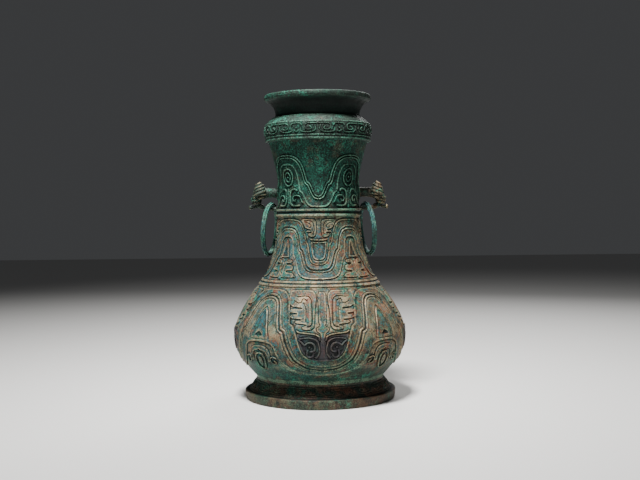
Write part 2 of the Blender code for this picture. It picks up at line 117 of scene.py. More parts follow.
class HuColours(bpy.types.PropertyGroup):
    malachite: colour_setting("Malachite", "Powdery bright green crust", 0.018, 0.135, 0.088)
    green: colour_setting("Green", "Green film of the neck and the lid", 0.006, 0.060, 0.039)
    bottle: colour_setting("Dark green", "Dark ground under the green", 0.003, 0.013, 0.010)
    teal: colour_setting("Teal", "Blue-green film of the left side", 0.018, 0.090, 0.104)
    umber: colour_setting("Umber", "Dark ground of the belly", 0.009, 0.015, 0.012)
    drab: colour_setting("Drab", "Grey-green film of the belly", 0.030, 0.050, 0.036)
    ochre: colour_setting("Ochre", "Dry earthy tan of the right side", 0.105, 0.062, 0.032)
    cuprite: colour_setting("Cuprite", "Red-brown oxide patches", 0.175, 0.046, 0.020)
    # the recess colour: dark earth in the hollows and pits, and painted shade in the recesses
    earth_and_shade: colour_setting("Recess", "Dark earth left in the recesses", 0.002, 0.004, 0.003)
    worn: colour_setting("Worn edge", "Rubbed pale tan ridges", 0.230, 0.185, 0.108)
    pale: colour_setting("Pale green edge", "Rubbed ridges on green", 0.080, 0.190, 0.130)
    mask: colour_setting("Mask film", "Grey-violet film on the masks", 0.030, 0.026, 0.033)


def sizes():
    """The scene's size settings."""
    return bpy.context.scene.hu_sizes


def colours():
    """The scene's colour settings."""
    return bpy.context.scene.hu_colours


def catmull_rom(points, steps):
    """A smooth curve through the points, with the same number of steps between each two."""
    points = [np.array(p, float) for p in points]
    ends = [2 * points[0] - points[1], *points, 2 * points[-1] - points[-2]]
    curve = []
    for a, b, c, d in zip(ends, ends[1:], ends[2:], ends[3:]):
        for step in range(steps):
            t = step / steps
            curve.append(0.5 * (2 * b + (c - a) * t + (2 * a - 5 * b + 4 * c - d) * t * t
                                + (3 * b - a - 3 * c + d) * t * t * t))
    curve.append(points[-1])
    return np.array(curve)


class Turned:
    """The outline of a turned form, as (radius, height) in metres, measured along its length."""

    def __init__(self, drawn, smooth=16):
        points = [(r * SCALE * MM, z * SCALE * MM) for r, z in drawn]
        self.line = catmull_rom(points, smooth) if smooth else np.array(points)
        self.lengths = np.concatenate([[0], np.cumsum(np.hypot(*np.diff(self.line, axis=0).T))])

    def at(self, length):
        """(radius, height) at a length along the outline."""
        return (np.interp(length, self.lengths, self.line[:, 0]),
                np.interp(length, self.lengths, self.line[:, 1]))

    def length_at(self, drawn_z):
        """The length along the outline at a drawn height."""
        return np.interp(np.asarray(drawn_z) * SCALE * MM, self.line[:, 1], self.lengths)

    def raised(self, length, height):
        """(radius, height) of points that stand a height proud of the outline."""
        step = 0.4 * MM
        low, high = self.at(np.asarray(length) - step), self.at(np.asarray(length) + step)
        run, rise = high[0] - low[0], high[1] - low[1]
        slope = np.hypot(run, rise)
        radius, z = self.at(length)
        return radius + height * rise / slope, z - height * run / slope


BODY = Turned([(126.5, 44), (140.9, 60.4), (157, 79.3), (166.3, 99.8), (170, 126),
               (167, 148.9), (152, 180.3), (135.4, 206.1), (118, 229), (104.4, 251.8),
               (94.4, 277.6), (87.5, 303.3), (83.2, 340.5), (80.8, 412), (81.6, 433.1),
               (86.4, 458.1), (92.2, 483), (99.5, 508)])
FOOT = Turned([(142, 18.8), (140.1, 23.2), (135.5, 30), (129.3, 37.8), (126.5, 44)])
LID = Turned([(104.6, 508.3), (105.3, 513.3), (106.6, 521), (107, 529.4), (106.4, 537),
              (104.6, 542), (100.6, 547.4), (94.6, 552.4), (90.2, 555)])

# The lugs, in drawn millimetres: the head's distance from the axis, its height, the bar's height
LUG_X, LUG_Z, BAR_Z = 121.8, 408.3, 375.4
LUG_RADIUS = 10.2

# The lid's knob, in drawn millimetres: the least radius of its outer wall, and its dark band, own
# dark green with painted shade under the rim
KNOB_WALL = 82.5
KNOB_DARK_AND_SHADE = (556.5, 588)

# The rings, in drawn millimetres: the radius of the middle line and of the section, with
# grooves round the section at these angles, as deep and as wide as these shares
RING_MIDDLE, RING_SECTION = 49.75, 4.72
RING_GROOVES = (-1.45, -0.5, 0.5, 1.45)
RING_GROOVE_DEPTH, RING_GROOVE_WIDTH = 0.3, 0.23
RING_AROUND, RING_ACROSS = 200, 60


def sampled(line, step):
    """The flat line with points a step apart, its own corners kept."""
    out = [line[0]]
    for a, b in zip(line, line[1:]):
        count = max(1, round(float(np.hypot(*(b - a))) / step))
        out += [a + (b - a) * i / count for i in range(1, count + 1)]
    return np.array(out)


def beside(line, distance):
    """The flat line moved sideways, to the left of its run for a positive distance."""
    run = np.gradient(line, axis=0)
    run /= np.maximum(np.hypot(run[:, 0], run[:, 1]), 1e-12)[:, None]
    moved = line + distance * np.stack([-run[:, 1], run[:, 0]], axis=1)
    moved[[0, -1], 0] = line[[0, -1], 0]
    return moved


def distance_to(points, line):
    """Distance from each point to the nearest part of a flat line."""
    best = np.full(len(points), 1e9)
    starts, ahead = line[:-1], np.diff(line, axis=0)
    span = np.maximum((ahead ** 2).sum(axis=1), 1e-18)
    for first in range(0, len(points), 4000):
        some = points[first:first + 4000, None, :] - starts[None]
        share = np.clip((some * ahead).sum(axis=2) / span, 0, 1)
        away = some - share[..., None] * ahead
        best[first:first + 4000] = np.sqrt((away ** 2).sum(axis=2).min(axis=1))
    return best


def within(points, outline):
    """Which points are inside a closed flat outline."""
    x, y = points[:, 0], points[:, 1]
    inside = np.zeros(len(points), bool)
    for (ax, ay), (bx, by) in zip(outline, np.roll(outline, -1, axis=0)):
        if ay == by:
            continue
        crosses = ((ay > y) != (by > y)) & (x < (bx - ax) * (y - ay) / (by - ay) + ax)
        inside ^= crosses
    return inside


class Carving:
    """Carving on one mirrored part of a turned form, between two drawn heights. Drawings are in
    degrees from the middle of a trough and in drawn millimetres of height."""

    def __init__(self, form, low, high, half_period=HALF_PERIOD, turned=0.0):
        self.form, self.half_period, self.turned = form, half_period, turned
        self.low, self.high = float(form.length_at(low)), float(form.length_at(high))
        self.radius = float(form.at(np.linspace(self.low, self.high, 9))[0].mean())
        self.width = math.radians(half_period) * self.radius
        self.guides, self.hoops, self.mouldings, self.films = [], [], [], []
        self.grounds, self.fields, self.cuts, self.ridges, self.strokes = [], [], [], [], []

    def flat(self, drawing, smooth=0):
        """A drawing as flat points: metres round the form and metres along its outline. Points
        that are flat already, as an array, stay as they are."""
        if isinstance(drawing, np.ndarray):
            return drawing
        drawing = catmull_rom(drawing, smooth) if smooth else np.array(drawing, float)
        return np.stack([np.radians(drawing[:, 0]) * self.radius,
                         self.form.length_at(drawing[:, 1])], axis=1)

    def notched(self, lower, upper):
        """A wave line in two smooth runs with a notch between them."""
        return np.concatenate([self.flat(lower, 5), self.flat(upper, 5)])

    def guide(self, line, *offsets):
        """Keep mesh points along a line and beside it."""
        for offset in offsets:
            self.guides.append(beside(line, offset) if offset else line)

    def ground(self, level, outline=None):
        """The level that the forms stand in, as a share of the relief."""
        self.grounds.append((level, outline))

    def field(self, lines, outline, top=1.0, channel=0.7, rim=None):
        """A raised field with a ridge along its lines and a shallow channel within."""
        rim = sizes().rim if rim is None else rim
        for line in lines:
            self.guide(line, 0, -EDGE, EDGE, -EDGE - rim, EDGE + rim)
        self.fields.append((lines, outline, top, channel, rim))

    def ribbon(self, upper, lower, **how):
        """A raised field between two wave lines."""
        self.field([upper, lower], np.concatenate([upper, lower[::-1]]), **how)

    def boss(self, drawing, smooth=4, **how):
        """A raised shape across a middle line, drawn as its half from one end to the other."""
        edge = self.flat(drawing, smooth)
        self.field([edge], edge, **how)
        return edge

    def stroke(self, drawing, half_width, top=1.0, smooth=4):
        """A raised rounded line in a narrow trench."""
        path = self.flat(drawing, smooth)
        half = half_width * MM
        self.guide(path, 0, -half, half, -half * 0.6, half * 0.6, -half - TRENCH, half + TRENCH)
        self.strokes.append((path, half, top))

    def ridge(self, drawing, half_width, top=1.0, smooth=4):
        """A rounded ridge along a line, on what stands there."""
        path = self.flat(drawing, smooth)
        half = half_width * MM
        self.guide(path, 0, -half, half)
        self.ridges.append((path, half, top))

    def dot(self, angle, z, radius, top=1.0):
        """A raised round knob."""
        turn = np.linspace(0, 2 * math.pi, 15)
        centre = self.flat([(angle, z)])[0]
        loop = centre + radius * MM * np.stack([np.cos(turn), np.sin(turn)], axis=1)
        self.guides += [loop, centre + (loop - centre) * 0.55]
        self.strokes.append((np.array([centre, centre + [HAIR, 0]]), radius * MM, top))

    def groove(self, drawing, half_width, depth=1.0, smooth=4):
        """A cut that takes a share of what stands there, down to the ground."""
        path = self.flat(drawing, smooth)
        half = half_width * MM
        self.guide(path, 0, -half, half)
        self.cuts.append((path, half, depth, False))

    def pit(self, drawing, depth=1.0, smooth=4):
        """A hollow inside an outline."""
        edge = self.flat(drawing, smooth)
        self.guide(edge, 0, -PIT_EDGE, PIT_EDGE)
        self.cuts.append((edge, PIT_EDGE, depth, True))

    def moulding(self, steps):
        """A turned moulding: (drawn height, proud millimetres) from one edge to the other."""
        rows = self.form.length_at([z for z, _ in steps])
        self.hoops += list(rows)
        self.mouldings.append((rows, [proud * MM for _, proud in steps]))

    def heights(self, points):
        """How proud the carving stands at each flat point, in metres."""
        points = self.off_border(points)
        share = np.zeros(len(points))
        for level, outline in self.grounds:
            share[slice(None) if outline is None else within(points, outline)] = level
        raised = np.full(len(points), -1.0)
        outside = np.full(len(points), 1.0)
        for lines, outline, top, channel, rim in self.fields:
            inside = within(points, outline)
            away = np.min([distance_to(points, line) for line in lines], axis=0)
            rise = np.interp(away, [0, EDGE, EDGE + rim * 0.5, EDGE + rim, EDGE + rim * 1.7],
                             [0, top * 0.92, top, top * 0.92, channel])
            raised[inside] = np.maximum(raised[inside], rise[inside])
            outside = np.minimum(outside, np.where(inside, 0, away))
        trench = [0, TRENCH_LIP, TRENCH]
        kept = np.interp(outside, trench, [0, 0, 1])
        dug = 1 - kept
        share = np.maximum(share * kept, raised)
        for path, half, depth, pit in self.cuts:
            away = distance_to(points, path) / half
            cut = (np.where(within(points, path), np.clip(away, 0, 1), 0) if pit
                   else np.clip(1.3 - away * 1.3, 0, 1))
            share *= 1 - depth * cut
            dug = np.maximum(dug, depth * cut)
        for path, half, top in self.ridges:
            away = np.clip(distance_to(points, path) / half, 0, 1)
            share = np.maximum(share, top * (1 - away ** 2) * (share > 0.02))
        ridge = np.zeros(len(points))
        outside = np.full(len(points), 1.0)
        for path, half, top in self.strokes:
            away = distance_to(points, path)
            rise = top * np.sqrt(np.clip(1 - np.clip(away / half, 0, 1) ** 3, 0, 1))
            ridge = np.maximum(ridge, rise)
            outside = np.minimum(outside, away - half)
        kept = np.interp(outside, trench, [0, 0, 1])
        dug = np.maximum(dug, 1 - kept) * (ridge < 0.05)
        share = np.maximum(share * kept, ridge) - sizes().groove * dug
        fade = np.interp(points[:, 1], [self.low, self.low + 3 * MM, self.high - 2 * MM,
                                        self.high], [0, 1, 1, 0])
        extra = np.zeros(len(points))
        for rows, proud in self.mouldings:
            here = (points[:, 1] >= rows[0] - 1e-9) & (points[:, 1] <= rows[-1] + 1e-9)
            extra[here] = np.interp(points[here, 1], rows, proud)
        return (share * sizes().relief - sizes().sunk) * fade + extra

    def off_border(self, points):
        """The points, with those on the mirror borders moved a hair inwards."""
        return np.stack([np.clip(points[:, 0], HAIR, self.width - HAIR), points[:, 1]], axis=1)

    def film_at(self, points):
        """Which flat points the dark film covers, as 0 or 1."""
        points = self.off_border(points)
        film = np.zeros(len(points))
        for outline in self.films:
            film[within(points, outline)] = 1
        return film

    def guide_points(self):
        """Points along the guides, off the borders, and the edges that join them."""
        points, edges, kept = [], [], []
        for line in self.guides:
            line = sampled(line, sizes().line_step)
            keep = ((line[:, 0] > BORDER_GAP) & (line[:, 0] < self.width - BORDER_GAP)
                    & (line[:, 1] > self.low + BORDER_GAP)
                    & (line[:, 1] < self.high - BORDER_GAP))
            edges += [(len(points) + i, len(points) + i + 1) for i in range(len(line) - 1)
                      if keep[i] and keep[i + 1]]
            points.extend(line)
            kept.extend(keep)
        number = np.cumsum(kept) - 1
        return np.array(points)[kept], [(int(number[a]), int(number[b])) for a, b in edges]

    def field_points(self, guides):
        """A grid kept clear of the guide points, except on the borders and the hoops."""
        low, high, width = self.low, self.high, self.width
        xs = np.linspace(0, width, sizes().columns + 1)
        rows = np.linspace(low, high, max(2, round((high - low) / sizes().field_step)) + 1)
        rows = np.unique(np.concatenate([rows, self.hoops]))
        rows = rows[np.concatenate([[True], np.diff(rows) > ROW_GAP])]
        rows[-1] = high
        field = np.array([(x, y) for y in rows for x in xs])
        free = ((field[:, 1] == low) | (field[:, 1] == high)
                | (field[:, 0] == 0) | (field[:, 0] == width))
        for hoop in self.hoops:
            free |= np.abs(field[:, 1] - hoop) < HOOP_REACH
        cells = {}
        for x, y in guides:
            cells.setdefault((int(x // CELL), int(y // CELL)), []).append((x, y))
        for i in np.flatnonzero(~free):
            x, y = field[i]
            near = (point for across in (-1, 0, 1) for up in (-1, 0, 1)
                    for point in cells.get((int(x // CELL) + across, int(y // CELL) + up), ()))
            free[i] = not any((gx - x) ** 2 + (gy - y) ** 2 < GUIDE_GAP ** 2 for gx, gy in near)
        return field[free]

    def part(self):
        """Angles, lengths, heights and film shares of points over the part, and its triangles."""
        guides, edges = self.guide_points()
        field = self.field_points(guides)
        points = np.concatenate([guides, field])

        def joined(here, axis):
            """The edges between field points in a row, in order along an axis."""
            row = sorted((len(guides) + i for i in np.flatnonzero(here)),
                         key=lambda i: points[i, axis])
            return list(zip(row, row[1:]))

        for side in (0.0, self.width):
            edges += joined(field[:, 0] == side, 1)
        for level in [self.low, self.high, *self.hoops]:
            edges += joined(np.abs(field[:, 1] - level) < 1e-9, 0)
        result = delaunay_2d_cdt([Vector(p) for p in points.tolist()], edges, [], 0, HAIR)
        flat = np.array([tuple(p) for p in result[0]])
        for side in (0, self.width):
            flat[np.abs(flat[:, 0] - side) < HAIR / 10, 0] = side
        angle = np.degrees(flat[:, 0] / self.radius)
        return angle, flat[:, 1], self.heights(flat), self.film_at(flat), result[2]

    def shell(self, below=(), above=()):
        """Vertices, faces and film shares of the whole round, with turned hoops added below
        and above as (radius, height) in metres; a zero radius closes the form."""
        angle, length, height, film, triangles = self.part()
        radius, z = self.form.raised(length, height)
        parts = round(360 / self.half_period)
        verts, faces = [], []
        for part in range(parts):
            mirrored = part % 2
            turn = np.radians(self.turned + (part + mirrored) * self.half_period
                              + (-angle if mirrored else angle))
            verts += np.stack([radius * np.sin(turn), -radius * np.cos(turn), z], axis=1).tolist()
            first = part * len(angle)
            faces += [[i + first for i in (face[::-1] if mirrored else face)]
                      for face in triangles]
        count = parts * sizes().columns
        spin = np.arange(count) * 2 * math.pi / count + math.radians(self.turned)

        def loop_at(radius, z):
            """A new round of vertices."""
            verts.extend((radius * math.sin(s), -radius * math.cos(s), z) for s in spin)
            return list(range(len(verts) - count, len(verts)))

        for level, hoops in ((self.low, below), (self.high, above)):
            loop = loop_at(*self.form.at(level))
            for hoop_radius, hoop_z in hoops:
                ahead = loop[1:] + loop[:1]
                if hoop_radius == 0:
                    verts.append((0, 0, hoop_z))
                    faces += [(a, b, len(verts) - 1) for a, b in zip(loop, ahead)]
                    break
                new = loop_at(hoop_radius, hoop_z)
                faces += list(zip(loop, ahead, new[1:] + new[:1], new))
                loop = new
        films = np.zeros(len(verts))
        films[:parts * len(film)] = np.tile(film, parts)
        return np.array(verts), faces, films


def mesh_piece(name, verts, faces, films=None, smooth=38.0):
    """A piece from computed vertices, welded, facing outwards and smoothed by angle."""
    data = bpy.data.meshes.new(name)
    data.from_pydata(verts.tolist(), [], faces)
    if films is not None:
        layer = data.attributes.new("film", "FLOAT", "POINT")
        layer.data.foreach_set("value", films.astype(np.float32))
    piece = linked(name, data)
    weld_outwards(piece)
    smoothed(piece, smooth)
    measure_relief(piece)
    return piece


def measure_relief(piece, rounds=9, span=0.55 * MM):
    """Store how proud or sunken each vertex is beside its surroundings: 0 deep, 1 proud."""
    mesh = piece.data
    count = len(mesh.vertices)
    here, normals = np.zeros(count * 3), np.zeros(count * 3)
    mesh.vertices.foreach_get("co", here)
    mesh.vertices.foreach_get("normal", normals)
    here, normals = here.reshape(-1, 3), normals.reshape(-1, 3)
    ends = np.zeros(len(mesh.edges) * 2, int)
    mesh.edges.foreach_get("vertices", ends)
    a, b = ends.reshape(-1, 2).T
    into, source = np.concatenate([a, b]), np.concatenate([b, a])
    number = np.maximum(np.bincount(into, minlength=count), 1)
    soft = here.copy()
    for _ in range(rounds):
        mean = np.stack([np.bincount(into, soft[source, k], count) / number for k in range(3)],
                        axis=1)
        soft = soft * 0.4 + mean * 0.6
    proud = ((here - soft) * normals).sum(axis=1)
    layer = mesh.attributes.new("relief", "FLOAT", "POINT")
    layer.data.foreach_set("value", np.clip(0.5 + proud / (2 * span), 0, 1).astype(np.float32))


def only(piece):
    """Leave this piece alone selected and active."""
    if bpy.context.mode != "OBJECT":
        bpy.ops.object.mode_set(mode="OBJECT")
    bpy.ops.object.select_all(action="DESELECT")
    piece.select_set(True)
    bpy.context.view_layer.objects.active = piece


def weld_outwards(piece, reach=2e-6):
    """Merge doubles and turn the normals outwards."""
    only(piece)
    bpy.ops.object.mode_set(mode="EDIT")
    bpy.ops.mesh.select_all(action="SELECT")
    bpy.ops.mesh.remove_doubles(threshold=reach)
    bpy.ops.mesh.select_all(action="SELECT")
    bpy.ops.mesh.normals_make_consistent(inside=False)
    bpy.ops.object.mode_set(mode="OBJECT")


def smoothed(piece, angle=38.0):
    """Smooth the piece where its faces meet at less than an angle in degrees."""
    only(piece)
    bpy.ops.object.shade_smooth_by_angle(angle=math.radians(angle))


def linked(name, data):
    """A new object in the scene."""
    item = bpy.data.objects.new(name, data)
    bpy.context.collection.objects.link(item)
    return item


def placed(piece, finish, body, slot, *nodes):
    """Give the piece its finish and hand it to the frame."""
    piece.data.materials.append(patina(finish))
    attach(piece, body)
    if nodes:
        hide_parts(*nodes)


def carve_belly():
    """The belly: wave ribbon, mask, nose ridge, brows and side plates."""
    work = Carving(BODY, 44, 226, turned=2.0)
    upper = work.notched(
        [(0, 97), (8, 99), (12, 105.5), (14, 116), (15.6, 130), (17.2, 145), (19.4, 159)],
        [(21.6, 163), (22.6, 176), (24, 190), (25.6, 203), (28.2, 213), (32.4, 219.6),
         (38, 222.4), (45, 223)])
    deep = work.notched(
        [(0, 75.5), (10, 79.5), (15, 87), (19, 95), (21, 105), (22.8, 116), (24.6, 132),
         (26.3, 147)],
        [(28.8, 151), (30, 161), (32, 180), (34, 195), (37, 205), (41, 209.5), (45, 210.5)])
    outer = work.flat([(0, 65), (8, 66), (15, 69), (20, 73), (25, 81), (28, 89), (30.5, 98),
                       (32, 108), (33, 117), (35.5, 123.2), (40, 126), (45, 126.8)], 5)
    work.ground(0.12)
    work.ribbon(upper, outer, channel=0.6, rim=2.0 * MM)
    work.groove(deep, 1.7)
    work.groove(beside(deep, 6.8 * MM), 0.9, 0.55)
    work.groove(beside(deep, -6.0 * MM), 1.0, 0.7)
    work.ridge(beside(deep, 3.6 * MM), 2.2, 1.0)
    work.ridge(beside(deep, -3.4 * MM), 2.0, 0.95)
    # the tall triangle under a crest, with its small pit
    work.groove([(45, 191), (43, 187.4), (41, 177), (39.2, 164), (37.8, 150), (36.4, 133.6)], 1.4,
                1.0, 4)
    work.groove([(36.6, 133), (40, 132), (45, 131.8)], 1.0, 0.8)
    work.ridge([(45, 187), (43.6, 184), (41.8, 175), (40.2, 163), (38.9, 150), (38, 139)], 1.7)
    work.pit([(45, 147), (43.6, 145), (41.8, 140.6), (42.4, 138), (45, 137.4)], 1.0, 3)
    # the horseshoe and the oval below it
    work.boss([(45, 120.4), (40.6, 119), (37.4, 113.4), (36, 102), (36.8, 90), (38.8, 90.6),
               (38.8, 101), (40.8, 108.6), (45, 111)], smooth=3, rim=1.4 * MM, channel=0.72)
    work.stroke([(45, 105.8), (42.2, 103), (40.9, 95), (41.2, 84), (42.8, 76.6), (45, 73.6)], 1.6)
    work.boss([(45, 99.6), (43.7, 96.6), (43.2, 90), (43.8, 83), (45, 80)], rim=1.0 * MM,
              channel=0.8)
    work.stroke([(31.6, 97), (34.2, 99.4), (36, 96), (35.4, 89), (33, 86.6), (31.8, 89.4),
                 (33, 92.8)], 1.35)
    # the dark mask in a trough
    mask = work.boss([(0, 138), (1.6, 139), (5.2, 142), (9.9, 143.6), (16.4, 145), (15.6, 133),
                      (14.6, 121), (12.8, 109.6), (9.6, 100), (5, 96), (0, 95)], top=0.7,
                     channel=0.42, rim=1.4 * MM)
    work.films.append(mask)
    work.stroke([(14.4, 135.7), (11, 137.6), (7.3, 137.3), (3.8, 132.7), (2.4, 122),
                 (2.4, 109.6), (4.4, 100.4)], 1.5, 0.85)
    work.stroke([(14.8, 133), (13, 128.8), (11.6, 124.2), (10, 128), (7.7, 129.3), (5.7, 125.8),
                 (4.9, 119.6), (5.9, 113.5), (7.8, 112.7)], 1.7, 1.0)
    work.stroke([(9.9, 112), (10.2, 105.8), (8.6, 102), (6.5, 104.3), (6.1, 109.3)], 1.7, 1.0)
    work.dot(8.6, 120.6, 2.0, 0.9)
    work.stroke([(16.9, 150), (14.8, 147.2), (9.9, 146), (5.2, 144), (2.6, 140), (2, 134)], 1.6)
    # the nose ridge down into it
    work.boss([(0, 218), (2.8, 217), (2.7, 190), (2.4, 166), (1.7, 160), (4.0, 155), (3.6, 149.4),
               (1.9, 145.6), (1.4, 137), (1.1, 128), (0, 125.6)], top=0.8, channel=0.6,
              rim=1.1 * MM, smooth=3)
    # the tall barbed brows over it
    work.boss([(4.4, 213), (7.8, 221.4), (16, 221.8), (26.4, 221.4), (26.8, 215), (26, 201),
               (24, 194.4), (20.4, 191.6), (15.4, 190.8), (15.2, 189), (19.6, 189),
               (23.2, 187.6), (24.2, 184.4), (22.8, 181.8), (18.4, 181), (18.2, 179.2),
               (21, 178.8), (22.9, 176.2), (22.3, 172.8), (19.4, 171), (14.9, 170.6),
               (14.7, 168.8), (17.6, 168.2), (19, 165.6), (17, 162.8), (12.8, 162),
               (10.8, 160.2), (13.2, 158), (13.6, 154.6), (12, 152.2), (7.4, 152.6),
               (5.4, 160.3), (5.3, 181), (4.6, 204), (4.4, 213)],
              smooth=2, channel=0.82, rim=1.6 * MM)
    work.groove([(19.4, 210), (14, 211.6), (10.6, 210.2), (8.6, 205), (7.7, 195), (7.2, 178),
                 (7, 164), (8, 158.8), (9.8, 157.6)], 1.3)
    work.groove([(21.6, 203), (18.4, 199.4), (15.8, 200.4), (15.6, 204.6), (14.2, 206.8),
                 (11.9, 203.4)], 1.15)
    work.ridge([(22.4, 216.4), (13, 216.8), (8.6, 214.6), (6.6, 206), (6, 190), (6, 166)], 2.0)
    work.ridge([(11.4, 206.4), (9.8, 201), (9.2, 192), (8.7, 178), (8.6, 165)], 1.7)
    work.groove([(13.6, 198), (12, 190), (11.4, 178), (11.4, 168)], 0.9, 0.5)
    return work


def carve_shoulder():
    """The shoulder: wave ribbon, shield, barbed hooks and crests."""
    work = Carving(BODY, 226, 360)
    work.moulding([(226, 0), (227, 2.5), (230.2, 2.5), (231.4, 1.3), (232.6, 1.3), (233.8, 2.5),
                   (237, 2.5), (238, 0)])
    upper = work.notched(
        [(0, 270.4), (5, 271.4), (8.9, 277.5), (10.9, 288), (12.2, 298), (13.2, 307)],
        [(15.6, 311.5), (17.2, 323), (19, 334), (21.4, 343.4), (24.6, 349.8), (29, 353.6),
         (36, 355.4), (45, 356)])
    deep = work.notched(
        [(0, 257.4), (6, 257.8), (11.4, 260.6), (15, 268.4), (17.6, 280), (19.8, 289.4),
         (21.2, 294)],
        [(23.8, 298), (25.2, 305), (27, 318), (30, 330), (34.5, 336.5), (40, 338.8), (45, 339)])
    outer = work.notched(
        [(0, 240.6), (12, 241.6), (18, 244.8), (22.5, 251), (25.5, 261), (28.2, 271),
         (30.5, 280)],
        [(33.4, 284.5), (35, 299), (36, 311), (38.2, 317.6), (41, 320.4), (45, 321)])
    work.ground(0.12)
    work.ribbon(upper, outer, channel=0.6, rim=1.8 * MM)
    work.groove(beside(upper, -4.2 * MM), 0.8, 0.6)
    work.groove(deep, 1.3)
    work.groove(beside(deep, -5.2 * MM), 0.9, 0.8)
    work.ridge(beside(deep, 3.0 * MM), 1.7, 1.0)
    work.ridge(beside(deep, -2.9 * MM), 1.6, 0.95)
    # the shield in a trough
    work.stroke([(0, 315), (5, 315), (10.4, 316)], 1.5, 0.9, 1)
    work.boss([(0, 311.4), (5, 311.2), (9.8, 312), (9.6, 302), (8.4, 289), (6.6, 280.6),
               (3.4, 277), (0, 276.6)], rim=1.3 * MM, channel=0.5)
    # the barbed hooks over it
    work.boss([(3.4, 350), (5, 353.6), (8.3, 355), (16, 355), (23.4, 354.8), (21.6, 347.6),
               (17.8, 337.6), (12, 335.6), (11.2, 333.6), (16.2, 333.2), (16.6, 330.2),
               (11, 329.8), (9.8, 328.4), (13.6, 327.8), (14.5, 324.4), (11, 320.8), (6, 321),
               (3.8, 326), (3.2, 341), (3.4, 350)], smooth=2, channel=0.82, rim=1.4 * MM)
    work.groove([(19, 350), (14.5, 347.6), (11.2, 344.6), (10.2, 341), (12.2, 338.8),
                 (14.4, 340.8)], 1.1)
    work.groove([(19.6, 352.6), (12, 351.8), (8, 348.8), (6.2, 341), (6.1, 332), (7.2, 326.4)],
                1.1, 0.9)
    # the pendant and the hooks under a crest
    work.boss([(45, 315.6), (43, 310), (41.2, 300), (39.8, 290), (38.4, 283.4), (38.8, 281.6),
               (45, 281.2)], smooth=2, rim=1.4 * MM, channel=0.5)
    work.boss([(43.7, 246), (43.5, 262), (42.8, 272), (40.6, 277), (36.8, 278.4),
               (33.2, 276.4), (32.2, 272.4), (35.4, 271), (38.8, 270.6), (39.4, 269),
               (37.4, 268), (32, 267.4), (30, 262.6), (30.4, 257.6), (34.2, 256.8),
               (37.8, 256.4), (38.2, 254.4), (35.6, 253.2), (29.8, 252.4), (27.6, 248.6),
               (25.4, 244.7), (34, 243.6), (41.6, 243.4), (43.7, 246)],
              smooth=2, channel=0.8, rim=1.4 * MM)
    work.stroke([(45, 278), (45, 241)], 1.5, 0.85, 1)
    return work


def carve_neck():
    """The neck: wave ribbon, whorls and curls under a plain band."""
    work = Carving(BODY, 360, 508)
    work.moulding([(360, 0), (361.2, 3.4), (364, 3.4), (366, 1.9), (369.5, 1.9), (371.5, 4.4),
                   (374, 4.4), (375.4, 0)])
    upper = work.notched(
        [(0, 398.4), (4, 400.8), (7.6, 410), (10, 418), (12, 423.4)],
        [(15, 426.4), (16.4, 431.6), (17.8, 441), (19.8, 452), (22.8, 463), (27, 470.4),
         (32, 475.2), (38, 477.4), (45, 478)])
    lower = work.notched(
        [(0, 377), (9, 378), (14, 381.6), (18, 389), (21.2, 399), (23.2, 404.4)],
        [(26.8, 408), (28, 417), (29.2, 430), (31, 444), (34, 453.6), (38.4, 458), (45, 458.6)])
    work.ground(0.12, np.concatenate([lower, [[work.width, work.low], [0, work.low]]]))
    inner = beside(upper, -3.4 * MM)
    work.ribbon(inner, lower, channel=0.5, rim=1.9 * MM)
    work.stroke(upper, 1.5)
    work.stroke(beside(upper, -5.0 * MM), 1.4)
    # the eye under a crest
    work.stroke([(45, 452.4), (40.3, 449.6), (37.2, 443), (36.3, 435.6), (37.3, 427.6),
                 (40.3, 421.4), (45, 419)], 1.6)
    work.stroke([(45, 445.6), (42, 442.6), (40.4, 436), (41.8, 429.8), (45, 427)], 1.3)
    work.dot(45, 436, 2.3)
    # the hooks below it
    work.stroke([(26, 381.6), (34, 380.8), (38.8, 382.8), (41.2, 388.4), (41.5, 398),
                 (40.7, 407.6), (37.6, 412.6), (32.8, 413), (30.6, 409.6)], 2.0)
    work.stroke([(21.8, 387), (23.8, 392.6), (26, 398.6), (30, 400.8), (34.6, 400), (36.8, 395.6),
                 (35.8, 390.6), (32.8, 390), (32, 393.6)], 1.5)
    work.stroke([(45, 414), (45, 379)], 1.6, 0.85, 1)
    return work


def carve_foot():
    """The foot: faint flat scrolls."""
    work = Carving(FOOT, 18.8, 44, 22.5)
    work.moulding([(18.8, 0), (19.6, 0.5), (21, 0.5), (21.8, 0), (41, 0), (41.8, 0.5), (44, 0)])
    work.stroke([(22.5, 38), (15, 38.4), (7, 37.4), (3.4, 33.6), (5, 29), (9.4, 28.4),
                 (11.6, 31.6), (9, 33.8)], 1.5, 0.22)
    work.stroke([(0, 26.4), (6, 25), (13, 25.6), (16.6, 30), (15.4, 34.2), (12, 35.2)], 1.4,
                0.22)
    work.stroke([(22.5, 25.6), (19.4, 27.4), (18.8, 32)], 1.3, 0.22)
    return work


def carve_lid():
    """The lid's band: a running scroll between mouldings."""
    work = Carving(LID, 508.3, 555, 22.5)
    work.moulding([(508.3, 0), (509, 0.5), (511.8, 0.5), (512.6, 0), (513.4, 0),
                   (514.2, 0.9), (515.8, 0.9), (516.6, 0)])
    work.moulding([(540.6, 0), (541.4, 0.7), (542.8, 0.7), (543.6, 0)])
    # a running scroll of flat hooks
    work.stroke([(0, 536.6), (6, 537.4), (11.4, 536.4), (13.2, 532.4), (12.4, 526.6), (8.4, 525),
                 (6.2, 527.6), (7.8, 530.6)], 1.3, 0.5)
    work.stroke([(2.6, 531.6), (2.4, 524.6), (6.4, 520.8), (13, 520.4), (17.4, 522.4),
                 (18, 528)], 1.25, 0.5)
    work.stroke([(22.5, 537.2), (18, 536.8), (16.6, 533)], 1.25, 0.5)
    work.dot(22.5, 528.6, 2.2, 0.5)
    work.stroke([(22.5, 521), (20.6, 523)], 1.0, 0.45)
    return work


